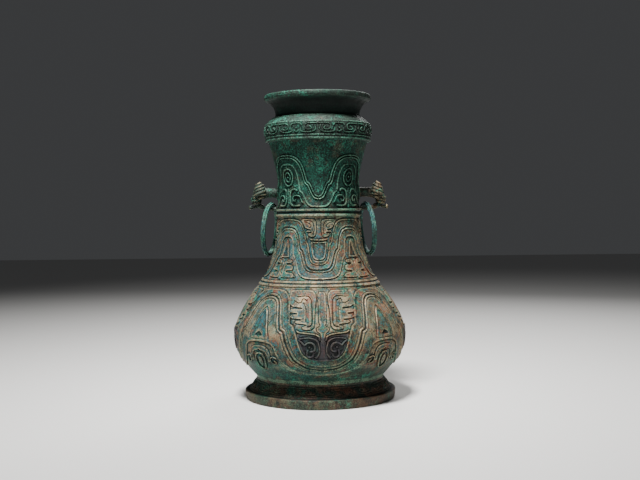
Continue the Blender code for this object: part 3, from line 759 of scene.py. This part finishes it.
def hoops(*drawn):
    """Hoops as (radius, height) in metres from drawn millimetres."""
    return [(r * SCALE * MM, z * SCALE * MM) for r, z in drawn]


def rounded_hoops(drawn, steps=3):
    """Hoops along a smooth curve through the drawn ones."""
    return [tuple(p) for p in catmull_rom(hoops(*drawn), steps).tolist()]


class HU_OT_foot(bpy.types.Operator):
    """Turn the ring foot with its plinth rim and faint scrolls, open below"""

    bl_idname = "hu.foot"
    bl_label = "Ring foot"

    def execute(self, context):
        rim = hoops((147.6, 18.3), (148.8, 18.1), (149.6, 17.6), (150, 16.6), (149.9, 12),
                    (149.4, 6), (148.4, 1.6), (147.6, 0.4), (146.6, 0), (141.9, 0), (141.5, 0.5),
                    (141.5, 13), (140.6, 15.4), (136.8, 22), (128.7, 31), (121.3, 40.5),
                    (118, 44), (126.5, 44))
        piece = mesh_piece("foot", *carve_foot().shell(below=rim))
        placed(piece, "foot", "vessel", "vessel")
        return {"FINISHED"}


class HU_OT_lid(bpy.types.Operator):
    """Cast the lid: scrolled band, domed shoulder, open ring knob and a tongue into the neck"""

    bl_idname = "hu.lid"
    bl_label = "Lid"

    def execute(self, context):
        work = carve_lid()
        under = hoops((100, 508.3), (94.5, 508.3), (94.2, 507), (90.4, 493.6), (89.8, 493.1),
                      (87, 493.1), (86.7, 493.6), (91, 511.4), (92.4, 512.5), (99.5, 512.9),
                      (101.2, 514.4), (102.8, 522), (103, 531), (102, 538.6), (97, 544.4),
                      (87, 549.4), (60, 551.2), (0, 551.6))
        knob = rounded_hoops([(90.2, 555), (86.4, 556.6), (84.4, 558.8), (84, 562), (84.6, 567.5),
                              (86.8, 574), (91.6, 581.6), (97.4, 586.2), (102.4, 588.4),
                              (105, 590.2), (106, 593), (106, 596), (105.4, 598.6),
                              (103.8, 600), (102, 600.2), (100, 599.2), (96.6, 595.2),
                              (91, 588.8), (86.4, 583.2), (82.4, 575.2), (80, 567.6),
                              (78.8, 561.4), (77.4, 558.4), (74, 557.4), (40, 558.6)])[1:]
        verts, faces, films = work.shell(below=under, above=knob + hoops((0, 559)))
        # the wall of the knob is dark outside: partly its own dark green, partly painted shade
        # under the knob's rim
        outside = np.hypot(verts[:, 0], verts[:, 1]) > KNOB_WALL * MM * SCALE
        low, high = (z * MM * SCALE for z in KNOB_DARK_AND_SHADE)
        films[outside & (verts[:, 2] > low) & (verts[:, 2] < high)] = 1.0
        piece = mesh_piece("lid_shell", verts, faces, films)
        placed(piece, "lid", "vessel", "lid", "lid")
        return {"FINISHED"}


def tube(path, radii, sides):
    """Vertices and faces of a tube along 3-D points, closed at its ends. There is a radius for
    each point, or a pair of them, along Y and across it."""
    path = np.array(path, float) * SCALE * MM
    side = Vector((0, 1, 0))
    verts = []
    for i, (point, radius) in enumerate(zip(path, radii)):
        run = Vector(path[min(i + 1, len(path) - 1)] - path[max(i - 1, 0)]).normalized()
        side = side - run * side.dot(run)
        if side.length < HAIR:
            side = Vector((1, 0, 0))
        side.normalize()
        deep = run.cross(side)
        wide, thick = radius if isinstance(radius, tuple) else (radius, radius)
        for k in range(sides):
            turn = 2 * math.pi * k / sides
            out = side * math.cos(turn) * wide + deep * math.sin(turn) * thick
            verts.append(Vector(point) + out * SCALE * MM)
    faces = []
    for first in range(0, len(verts) - sides, sides):
        for k in range(sides):
            a, b = first + k, first + (k + 1) % sides
            faces.append((a, b, b + sides, a + sides))
    faces.append(tuple(range(sides)))
    faces.append(tuple(range(len(verts) - sides, len(verts))))
    return verts, faces


def lug_forms():
    """The closed forms that a right-hand lug is fused from, each (vertices, faces)."""
    x, z, r = LUG_X, LUG_Z, LUG_RADIUS
    forms = []

    def bar(stations, sides=20):
        """A limb through stations of (x, y, z, half width, half thickness)."""
        curve = catmull_rom(stations, 4)
        forms.append(tube(curve[:, :3], [tuple(pair) for pair in curve[:, 3:]], sides))

    def rope(points, radius, sides=12):
        """A rounded cord that tapers at both ends."""
        path = catmull_rom(points, 5)
        steps = np.arange(len(path))
        ends = np.minimum(1, np.minimum(steps + 1, len(path) - steps) / 3)
        forms.append(tube(path, (radius * ends ** 0.5).tolist(), sides))

    def fullness(t, end=1.0):
        """How full a horn is at a share of its height, as a beehive is."""
        return (1 - 0.25 * t) * max(0.0, 1 - (t * end) ** 3.4) ** 0.5

    # neck and skull
    bar([(78.8, 0, z - 1, r, r), (90, 0, z - 0.6, r * 0.94, r * 0.94),
         (102, 0, z - 0.8, r, r), (x - 9, 0, z - 2, r * 1.2, r * 1.15),
         (x + 1, 0, z - 5, r * 1.1, r)])
    bar([(x - 5, 0, z + 5, r * 0.7, r * 0.7), (x - 3, 0, z + 1, r * 1.3, r * 1.1),
         (x - 0.4, 0, z - 7, r * 1.16, r * 0.98), (x + 0.4, 0, z - 14, r, r * 0.9),
         (x + 0.8, 0, z - 20, r * 0.86, r * 0.82), (x + 0.4, 0, z - 24.5, r * 0.5, r * 0.5)])
    # tongue and trunk: from the belt out to the curled tip
    bar([(84, 0, BAR_Z, 3.8, 3.6), (95, 0, BAR_Z - 0.1, 3.6, 3.5), (101, 0, BAR_Z, 3.6, 3.6),
         (x - 12, 0, BAR_Z + 2.2, 4.4, 4.2), (x - 7.4, 0, BAR_Z + 4.8, 5.8, 5.8),
         (x - 1, 0, BAR_Z + 5.6, 4.2, 3.4), (x + 6, 0, BAR_Z + 3.6, 3.4, 2.8),
         (x + 11, 0, BAR_Z + 3.0, 3.6, 3.2), (x + 14.6, 0, BAR_Z + 3.6, 5.0, 4.7),
         (x + 17.6, 0, BAR_Z + 4.2, 2.0, 1.8)], 16)
    for side in (-1, 1):
        # coiled horn: a beehive cone with a rope wound up it
        base = np.array([x - 5.6, side * 10.4, z - 2.4])
        lean = np.array([2.6, side * -1.4, 22.0])
        shares = [i / 12 for i in range(13)]
        forms.append(tube([base + lean * t for t in shares],
                          [(8.4 * fullness(t) + 0.4, 10.2 * fullness(t) + 0.4) for t in shares],
                          18))
        coil, shares = [], [i / 100 for i in range(101)]
        for t in shares:
            turn = side * (2 * math.pi * 3.5 * t + 0.4)
            out = np.array([math.cos(turn) * 9.6, math.sin(turn) * 7.8, math.cos(turn) * -3.0])
            coil.append(base + lean * (t * 0.97) + fullness(t, 0.99) * out)
        forms.append(tube(coil, [3.3 - 0.9 * t for t in shares], 12))
        # lower edge of the horn, brow, eye and ear
        rope([(x - 17, side * 12, z - 4), (x - 9, side * 17.4, z - 4.6),
              (x, side * 15.4, z - 5.6), (x + 7, side * 8, z - 7), (x + 9, 0, z - 7.6)], 2.3)
        rope([(x - 13, side * 12.4, z - 7), (x - 8, side * 15, z - 11),
              (x - 2, side * 14, z - 12)], 2.5)
        rope([(x + 2.6, side * 10, z - 10), (x + 4.4, side * 11.6, z - 10.4),
              (x + 5.8, side * 10.4, z - 10.8)], 2.7)
        rope([(x + 5, side * 3.4, z - 23), (x + 8, side * 3.6, z - 22.6),
              (x + 8.8, side * 3.2, z - 21.4)], 2.3)
    # the folds of the snout
    for drop, bulge, thick in ((9.4, 11.6, 2.5), (14.8, 11.2, 2.6), (20.2, 9.6, 2.4)):
        rope([(x + 0.4 + bulge * 0.94 * math.cos(a), bulge * 1.04 * math.sin(a),
               z - drop - 2.2 * math.cos(a)) for a in np.radians(np.linspace(-124, 124, 9))],
             thick)
    return forms


def joined_mesh(name, forms):
    """One object of several closed forms, each (vertices, faces)."""
    data = bpy.data.meshes.new(name)
    verts, faces = [], []
    for some, polygons in forms:
        first = len(verts)
        verts += [tuple(v) for v in some]
        faces += [tuple(i + first for i in polygon) for polygon in polygons]
    data.from_pydata(verts, [], faces)
    return linked(name, data)


def fused(piece, voxel, rounds):
    """Fuse overlapping closed forms to one skin, as wax runs together, then soften it."""
    weld_outwards(piece)
    only(piece)
    skin = piece.modifiers.new("skin", "REMESH")
    skin.mode = "VOXEL"
    skin.voxel_size = voxel
    bpy.ops.object.modifier_apply(modifier=skin.name)
    soften = piece.modifiers.new("soften", "SMOOTH")
    soften.factor = 0.5
    soften.iterations = rounds
    bpy.ops.object.modifier_apply(modifier=soften.name)
    bpy.ops.object.shade_smooth()
    measure_relief(piece, 26, 0.5 * MM)


class HU_OT_lugs(bpy.types.Operator):
    """Model the two beast heads with coiled horns and the tongue bar that holds each ring"""

    bl_idname = "hu.lugs"
    bl_label = "Beast-head lugs"

    def execute(self, context):
        right = joined_mesh("lug_right", lug_forms())
        fused(right, 0.55 * MM, 2)
        left = linked("lug_left", right.data.copy())
        left.data.transform(Matrix.Scale(-1, 4, (1, 0, 0)))
        left.data.flip_normals()
        for piece in (left, right):
            placed(piece, "lug", "vessel", "vessel")
        return {"FINISHED"}


def ring_place(node):
    """The frame of a CAD ring: its middle, and axes out of its plane, along Y and up."""
    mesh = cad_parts[node].data
    points = np.zeros(len(mesh.vertices) * 3)
    mesh.vertices.foreach_get("co", points)
    points = np.unique(points.reshape(-1, 3).round(6), axis=0)
    centre = points.mean(axis=0)
    _, _, axes = np.linalg.svd(points - centre)
    out = Vector(axes[2])
    if out.x * centre[0] < 0:
        out = -out
    up = (Vector((0, 0, 1)) - out * out.z).normalized()
    along = up.cross(out)
    return Matrix((
        (out.x, along.x, up.x, centre[0]), (out.y, along.y, up.y, centre[1]),
        (out.z, along.z, up.z, centre[2]), (0, 0, 0, 1)))


class HU_OT_rings(bpy.types.Operator):
    """Cast the two loose rings, with four shallow grooves along the outside"""

    bl_idname = "hu.rings"
    bl_label = "Rings"

    def execute(self, context):
        verts, faces = [], []
        for i in range(RING_AROUND):
            turn = 2 * math.pi * i / RING_AROUND
            following = (i + 1) % RING_AROUND
            for k in range(RING_ACROSS):
                face = 2 * math.pi * k / RING_ACROSS
                off = (face + math.pi) % (2 * math.pi) - math.pi
                cut = sum(RING_GROOVE_DEPTH * math.exp(-((off - at) / RING_GROOVE_WIDTH) ** 2)
                          for at in RING_GROOVES)
                radius = RING_SECTION * MM * SCALE * (1 - cut)
                reach = RING_MIDDLE * MM * SCALE + radius * math.cos(face)
                verts.append(Vector((radius * math.sin(face), reach * math.sin(turn),
                                     reach * math.cos(turn))))
                beyond = (k + 1) % RING_ACROSS
                faces.append((i * RING_ACROSS + k, i * RING_ACROSS + beyond,
                              following * RING_ACROSS + beyond, following * RING_ACROSS + k))
        for node in ("ring_left", "ring_right"):
            place = ring_place(node)
            moved = np.array([tuple(place @ v) for v in verts])
            piece = mesh_piece(node + "_cast", moved, faces, None, 60)
            placed(piece, "ring", node, node, node)
        return {"FINISHED"}


class HU_OT_carved_body(bpy.types.Operator):
    """Carve the belly, the shoulder and the neck in wave bands, each a closed cast shell"""

    bl_idname = "hu.carved_body"
    bl_label = "Carved body"

    def execute(self, context):
        for name, work in (("belly", carve_belly()), ("shoulder", carve_shoulder()),
                           ("neck", carve_neck())):
            rows = np.linspace(work.high, work.low, 26)
            inner = list(zip(*[v.tolist() for v in work.form.raised(rows, -sizes().wall)]))
            radius, z = map(float, work.form.at(work.low))
            below = []
            if name == "neck":
                mouth = inner[0][0]
                inner[:1] = [(mouth + 3.4 * MM, BODY_HEIGHT), (mouth + 0.8 * MM, BODY_HEIGHT)]
            if name == "belly":
                top = z + 5 * MM
                inner[-2:] = [(radius - 1 * MM, z + 5.6 * MM), (radius * 0.5, top), (0, top)]
                below = [(radius - 10 * MM, z), (0, z)]
            else:
                inner.append((radius, z))
            piece = mesh_piece(name, *work.shell(below, inner))
            placed(piece, "body", "vessel", "vessel", "vessel")
        return {"FINISHED"}


def feed(value, socket):
    """Give a node's socket a number, a colour or another node's output."""
    if isinstance(value, Output):
        value.tree.links.new(value.socket, socket)
    else:
        socket.default_value = (*value, 1) if isinstance(value, tuple) else value


class Output:
    """A node's output, with the arithmetic and the nodes that can follow it."""

    def __init__(self, tree, socket):
        self.tree, self.socket = tree, socket

    def maths(self, operation, *values):
        """The result of a sum on numbers or outputs."""
        node = self.tree.nodes.new("ShaderNodeMath")
        node.operation = operation
        for value, socket in zip(values, node.inputs):
            feed(value, socket)
        return Output(self.tree, node.outputs["Value"])

    def __add__(self, other):
        return self.maths("ADD", self, other)

    def __sub__(self, other):
        return self.maths("SUBTRACT", self, other)

    def __rsub__(self, other):
        return self.maths("SUBTRACT", other, self)

    def __mul__(self, other):
        return self.maths("MULTIPLY", self, other)

    def noise(self, scale, detail=5.0, roughness=0.6, distortion=0.0):
        """Cloudy noise over this place, from 0 to 1."""
        node = self.tree.nodes.new("ShaderNodeTexNoise")
        for name, value in (("Scale", scale), ("Detail", detail), ("Roughness", roughness),
                            ("Distortion", distortion), ("Vector", self)):
            feed(value, node.inputs[name])
        return Output(self.tree, node.outputs["Fac"])

    def ranged(self, low, high, to_low=0.0, to_high=1.0):
        """This value eased from one range into another, and held there."""
        node = self.tree.nodes.new("ShaderNodeMapRange")
        node.interpolation_type = "SMOOTHSTEP"
        for name, value in (("From Min", low), ("From Max", high), ("To Min", to_low),
                            ("To Max", to_high), ("Value", self)):
            feed(value, node.inputs[name])
        return Output(self.tree, node.outputs["Result"])


def blended(factor, under, over):
    """A colour with another laid over it by a factor."""
    node = factor.tree.nodes.new("ShaderNodeMix")
    node.data_type = "RGBA"
    for number, value in zip(MIX_INPUTS, (factor, under, over)):
        feed(value, node.inputs[number])
    return Output(factor.tree, node.outputs[MIX_OUTPUT])


# The Mix node's sockets for colours, whose names repeat those for numbers
MIX_INPUTS, MIX_OUTPUT = (0, 6, 7), 2

# The patina's sockets: its palette, with a second one for the upper part, and its layers
PALETTE = ("Dark", "Mid", "Left", "Right", "Worn")
PATINA_SOCKETS = (
    ("INPUT", "Vector", ("Vector",)),
    ("INPUT", "Float", ("Relief", "Film")),
    ("INPUT", "Color", (*PALETTE, *("Upper " + label.lower() for label in PALETTE), "Crust",
                        "Spot", "Recess", "Mask")),
    ("INPUT", "Float", ("Film amount", "Crust amount", "Spot amount", "Wear", "Dirt")),
    ("OUTPUT", "Color", ("Color",)),
    ("OUTPUT", "Float", ("Roughness", "Metallic", "Height")))


def patina_group():
    """The layers of buried bronze: films, crusts, oxide spots, earth and painted shade in
    recesses, worn edges.
    """
    name = "Bronze patina"
    if name in bpy.data.node_groups:
        return bpy.data.node_groups[name]
    tree = bpy.data.node_groups.new(name, "ShaderNodeTree")
    for way, kind, labels in PATINA_SOCKETS:
        for label in labels:
            tree.interface.new_socket(label, in_out=way, socket_type="NodeSocket" + kind)
    given = {socket.name: Output(tree, socket)
             for socket in tree.nodes.new("NodeGroupInput").outputs}
    result = tree.nodes.new("NodeGroupOutput").inputs
    where = given["Vector"]
    split = tree.nodes.new("ShaderNodeSeparateXYZ")
    feed(where, split.inputs["Vector"])
    across, height = (Output(tree, split.outputs[axis]) for axis in "XZ")
    streaks = tree.nodes.new("ShaderNodeVectorMath")
    streaks.operation = "MULTIPLY"
    feed(where, streaks.inputs[0])
    streaks.inputs[1].default_value = (1, 1, 0.42)

    # one palette low down, another above the neck belt; at the bottom of the belly and on the
    # foot the colours turn most of the way to the upper one, darker towards the bottom
    level = height + (where.noise(22.0) - 0.5) * 0.16
    up = level.maths("MAXIMUM", level.ranged(0.335, 0.405),
                     level.ranged(0.045, 0.125, 0.75, 0.0))
    tone = {label: blended(up, given[label], given["Upper " + label.lower()])
            for label in PALETTE}
    # speckled ground
    grain, clumps = where.noise(430.0, 3.0), where.noise(105.0, 5.0, 0.65)
    speckle = grain * 0.55 + clumps * 0.45
    colour = blended(speckle.ranged(0.40, 0.60), tone["Dark"], tone["Mid"])
    # films that part the left side from the right
    side = across * 5.0 + (where.noise(9.0, 4.0) - 0.5) * 3.4
    film = blended(side.ranged(-0.3, 0.3), tone["Left"], tone["Right"])
    mottle = Output(tree, streaks.outputs["Vector"]).noise(78.0, 7.0, 0.7, 0.5)
    veil = (mottle + (grain - 0.5) * 0.3).ranged(0.40, 0.62) * given["Film amount"]
    colour = blended(veil, colour, film)
    # powdery crust and oxide spots
    field = where.noise(38.0, 8.0, 0.7, 0.7) + (grain - 0.5) * 0.45
    crust = (field + given["Crust amount"]).ranged(0.97, 1.09)
    colour = blended(crust * 0.8, colour, given["Crust"])
    patches = where.noise(31.0, 8.0, 0.68, 0.4) + (clumps - 0.5) * 0.35
    spots = (patches + given["Spot amount"]).ranged(0.98, 1.08)
    spots = spots * up.ranged(0.0, 1.0, 0.75, 0.18)
    colour = blended(spots, colour, given["Spot"])
    # a fine mosaic of blue-green and earth where the film is dry
    chips = where.noise(170.0, 4.0, 0.6, 0.3)
    dry = (1.0 - up) * 0.8
    colour = blended(chips.ranged(0.54, 0.64) * dry, colour, tone["Left"])
    colour = blended(chips.ranged(0.46, 0.36) * dry, colour, tone["Right"])
    # the dark film of the masks, and on the knob's wall a band that is partly its own dark green,
    # partly painted shade under the rim
    masked = given["Film"] * mottle.ranged(0.34, 0.70, 0.96, 0.6)
    colour = blended(masked, colour, given["Mask"])
    # pits, thick on the plain neck
    pitted = where.noise(330.0, 2.0, 0.5).ranged(0.38, 0.50, 1.0, 0.0)
    colour = blended(pitted * up.ranged(0.0, 1.0, 0.35, 0.85), colour, given["Recess"])
    # earth and painted shade in the recesses, wear on the ridges
    dirt_and_shade = given["Relief"].ranged(0.10, 0.46, 1.0, 0.0) * clumps.ranged(0.3, 0.6, 1.0, 0.7)
    dirt_and_shade = dirt_and_shade * given["Dirt"]
    colour = blended(dirt_and_shade, colour, given["Recess"])
    rubbed = (mottle + (grain - 0.5) * 0.5).ranged(0.34, 0.60)
    worn = given["Relief"].ranged(0.72, 1.0) * rubbed * given["Wear"]
    worn = worn * (1.0 - given["Film"] * 0.85)
    colour = blended(worn, colour, tone["Worn"])
    shade = tree.nodes.new("ShaderNodeHueSaturation")
    feed(colour, shade.inputs["Color"])
    feed(grain.ranged(0.3, 0.7, 0.80, 1.20), shade.inputs["Value"])
    feed(Output(tree, shade.outputs["Color"]), result["Color"])

    rough = mottle.ranged(0.3, 0.7, 0.56, 0.74) - given["Film"] * 0.08
    feed(rough + crust * 0.16 - worn * 0.12 + dirt_and_shade * 0.18, result["Roughness"])
    feed((worn * 0.45 + 0.10) * (1.0 - crust), result["Metallic"])
    feed(grain * 0.6 + clumps * 0.5 + crust * 0.5 - spots * 0.3, result["Height"])
    return tree


def finishes():
    """Each finish's own colours and amounts for the patina layers."""
    tint = {name: tuple(getattr(colours(), name))
            for name in ("malachite", "green", "bottle", "teal", "umber", "drab", "ochre",
                         "cuprite", "earth_and_shade", "worn", "pale", "mask")}
    low = {"Dark": tint["umber"], "Mid": tint["drab"], "Left": tint["teal"],
           "Right": tint["ochre"], "Worn": tint["worn"]}
    high = {"Dark": tint["bottle"], "Mid": tint["green"], "Left": tint["green"],
            "Right": tint["bottle"], "Worn": tint["pale"]}
    # the recess colour and the dirt amount lay dark earth and painted shade in the recesses
    shared = {"Crust": tint["malachite"], "Spot": tint["cuprite"], "Recess": tint["earth_and_shade"],
              "Mask": tint["mask"], "Film amount": 0.8, "Crust amount": 0.46,
              "Spot amount": 0.45, "Wear": 0.85, "Dirt": 1.0}

    def mixed(below, above, **own):
        """One palette low down, another high up, and a finish's own amounts."""
        upper = {"Upper " + label.lower(): value for label, value in above.items()}
        return {**shared, **below, **upper, **{k.replace("_", " "): v for k, v in own.items()}}

    lid = {**high, "Dark": tint["umber"], "Mid": tint["drab"], "Right": tint["umber"]}
    lug = {**low, "Left": tint["drab"], "Right": tint["ochre"]}
    ring = {**high, "Mid": tint["teal"], "Left": tint["pale"], "Right": tint["drab"]}
    foot = {**low, "Left": tint["green"], "Right": tint["umber"]}
    return {
        "body": mixed(low, high),
        "foot": mixed(foot, {**foot, "Mid": tint["umber"]}, Film_amount=0.8,
                      Spot_amount=0.53, Crust_amount=0.42, Wear=0.14),
        # the lid's film colour is the dark green; on the knob's wall it is partly its own colour,
        # partly painted shade under the rim
        "lid": mixed(lid, lid, Spot_amount=0.36, Crust_amount=0.44, Wear=0.6,
                     Mask=tint["bottle"]),
        "lug": mixed(lug, lug, Crust_amount=0.40, Spot_amount=0.38, Wear=0.8, Dirt=0.6),
        "ring": mixed(ring, ring, Spot_amount=0.3, Wear=0.9, Dirt=0.7),
    }


def patina(finish):
    """The material of one finish, made once."""
    name = "hu_" + finish
    if name in bpy.data.materials:
        return bpy.data.materials[name]
    material = bpy.data.materials.new(name)
    material.use_nodes = True
    tree = material.node_tree
    shader = tree.nodes["Principled BSDF"]
    layers = tree.nodes.new("ShaderNodeGroup")
    layers.node_tree = patina_group()
    for label, value in finishes()[finish].items():
        feed(value, layers.inputs[label])
    where = tree.nodes.new("ShaderNodeTexCoord")
    feed(Output(tree, where.outputs["Object"]), layers.inputs["Vector"])
    for label in ("Relief", "Film"):
        stored = tree.nodes.new("ShaderNodeAttribute")
        stored.attribute_name = label.lower()
        feed(Output(tree, stored.outputs["Fac"]), layers.inputs[label])
    bump = tree.nodes.new("ShaderNodeBump")
    bump.inputs["Strength"].default_value = 0.5
    bump.inputs["Distance"].default_value = 0.5 * MM
    feed(Output(tree, layers.outputs["Height"]), bump.inputs["Height"])
    feed(Output(tree, bump.outputs["Normal"]), shader.inputs["Normal"])
    for label, socket in (("Color", "Base Color"), ("Roughness", "Roughness"),
                          ("Metallic", "Metallic")):
        feed(Output(tree, layers.outputs[label]), shader.inputs[socket])
    shader.inputs["Specular IOR Level"].default_value = 0.22
    return material


# The lights: name, place, size, power in watts and spread in degrees
LIGHTS = (("key", (-0.24, -0.78, 2.25), 0.4, 40, 88),
          ("front", (-0.6, -2.0, 0.8), 1.0, 4.2, 150),
          ("fill", (1.7, -1.2, 0.9), 1.2, 1.4, 150),
          ("back", (0.5, 1.4, 1.7), 1.0, 22, 150))
LIT_POINT = Vector((0, 0, 0.3))

# The camera: place in metres, tilt down and roll in degrees, lens in millimetres
CAMERA_PLACE = (0.0028, -1.9, 0.3666)
CAMERA_TILT, CAMERA_ROLL = 1.63, 0.6
CAMERA_LENS = 53.4


class HU_OT_stage(bpy.types.Operator):
    """Lay the pale floor and set the soft lights and the camera"""

    bl_idname = "hu.stage"
    bl_label = "Stage"

    def execute(self, context):
        bpy.ops.object.select_all(action="DESELECT")
        bpy.ops.mesh.primitive_plane_add(size=12)
        floor = context.object
        floor.name = "floor"
        material = bpy.data.materials.new("floor_paint")
        material.use_nodes = True
        shader = material.node_tree.nodes["Principled BSDF"]
        shader.inputs["Base Color"].default_value = (0.62, 0.61, 0.59, 1)
        shader.inputs["Roughness"].default_value = 0.85
        floor.data.materials.append(material)
        world = bpy.data.worlds.new("studio")
        world.use_nodes = True
        background = world.node_tree.nodes["Background"]
        background.inputs["Color"].default_value = (0.8, 0.82, 0.85, 1)
        background.inputs["Strength"].default_value = 0.06
        context.scene.world = world
        for name, place, size, power, spread in LIGHTS:
            light = bpy.data.lights.new(name, "AREA")
            light.spread = math.radians(spread)
            light.size = size
            light.energy = power
            lamp = linked(name, light)
            lamp.location = place
            aim = LIT_POINT - Vector(place)
            lamp.rotation_euler = aim.to_track_quat("-Z", "Y").to_euler()
        camera_data = bpy.data.cameras.new("camera")
        camera_data.sensor_width = 36
        camera_data.lens = CAMERA_LENS
        camera = linked("camera", camera_data)
        camera.location = CAMERA_PLACE
        camera.rotation_euler = (math.radians(90 - CAMERA_TILT), math.radians(CAMERA_ROLL), 0)
        context.scene.camera = camera
        return {"FINISHED"}


class HU_PT_vessel(bpy.types.Panel):
    """Sizes, colours and steps of the vessel"""

    bl_label = "Hu wine vessel"
    bl_idname = "HU_PT_vessel"
    bl_space_type = "VIEW_3D"
    bl_region_type = "UI"
    bl_category = "Hu vessel"

    def draw(self, context):
        """Show the settings and the steps."""
        for group in (context.scene.hu_sizes, context.scene.hu_colours):
            box = self.layout.box()
            for name in group.__annotations__:
                box.prop(group, name)
        for operator in (HU_OT_carved_body, HU_OT_foot, HU_OT_lid, HU_OT_lugs, HU_OT_rings,
                         HU_OT_stage):
            self.layout.operator(operator.bl_idname)


CLASSES = (HuSizes, HuColours, HU_OT_carved_body, HU_OT_foot, HU_OT_lid, HU_OT_lugs,
           HU_OT_rings, HU_OT_stage, HU_PT_vessel)


def register():
    """Add the settings, steps and panel to Blender."""
    for item in CLASSES:
        bpy.utils.register_class(item)
    bpy.types.Scene.hu_sizes = PointerProperty(type=HuSizes)
    bpy.types.Scene.hu_colours = PointerProperty(type=HuColours)


def unregister():
    """Take them out again."""
    del bpy.types.Scene.hu_colours
    del bpy.types.Scene.hu_sizes
    for item in reversed(CLASSES):
        bpy.utils.unregister_class(item)


def main():
    """Build every piece around the frame."""
    register()
    bpy.ops.hu.carved_body()
    bpy.ops.hu.foot()
    bpy.ops.hu.lid()
    bpy.ops.hu.lugs()
    bpy.ops.hu.rings()
    bpy.ops.hu.stage()


if __name__ == "__main__":
    main()
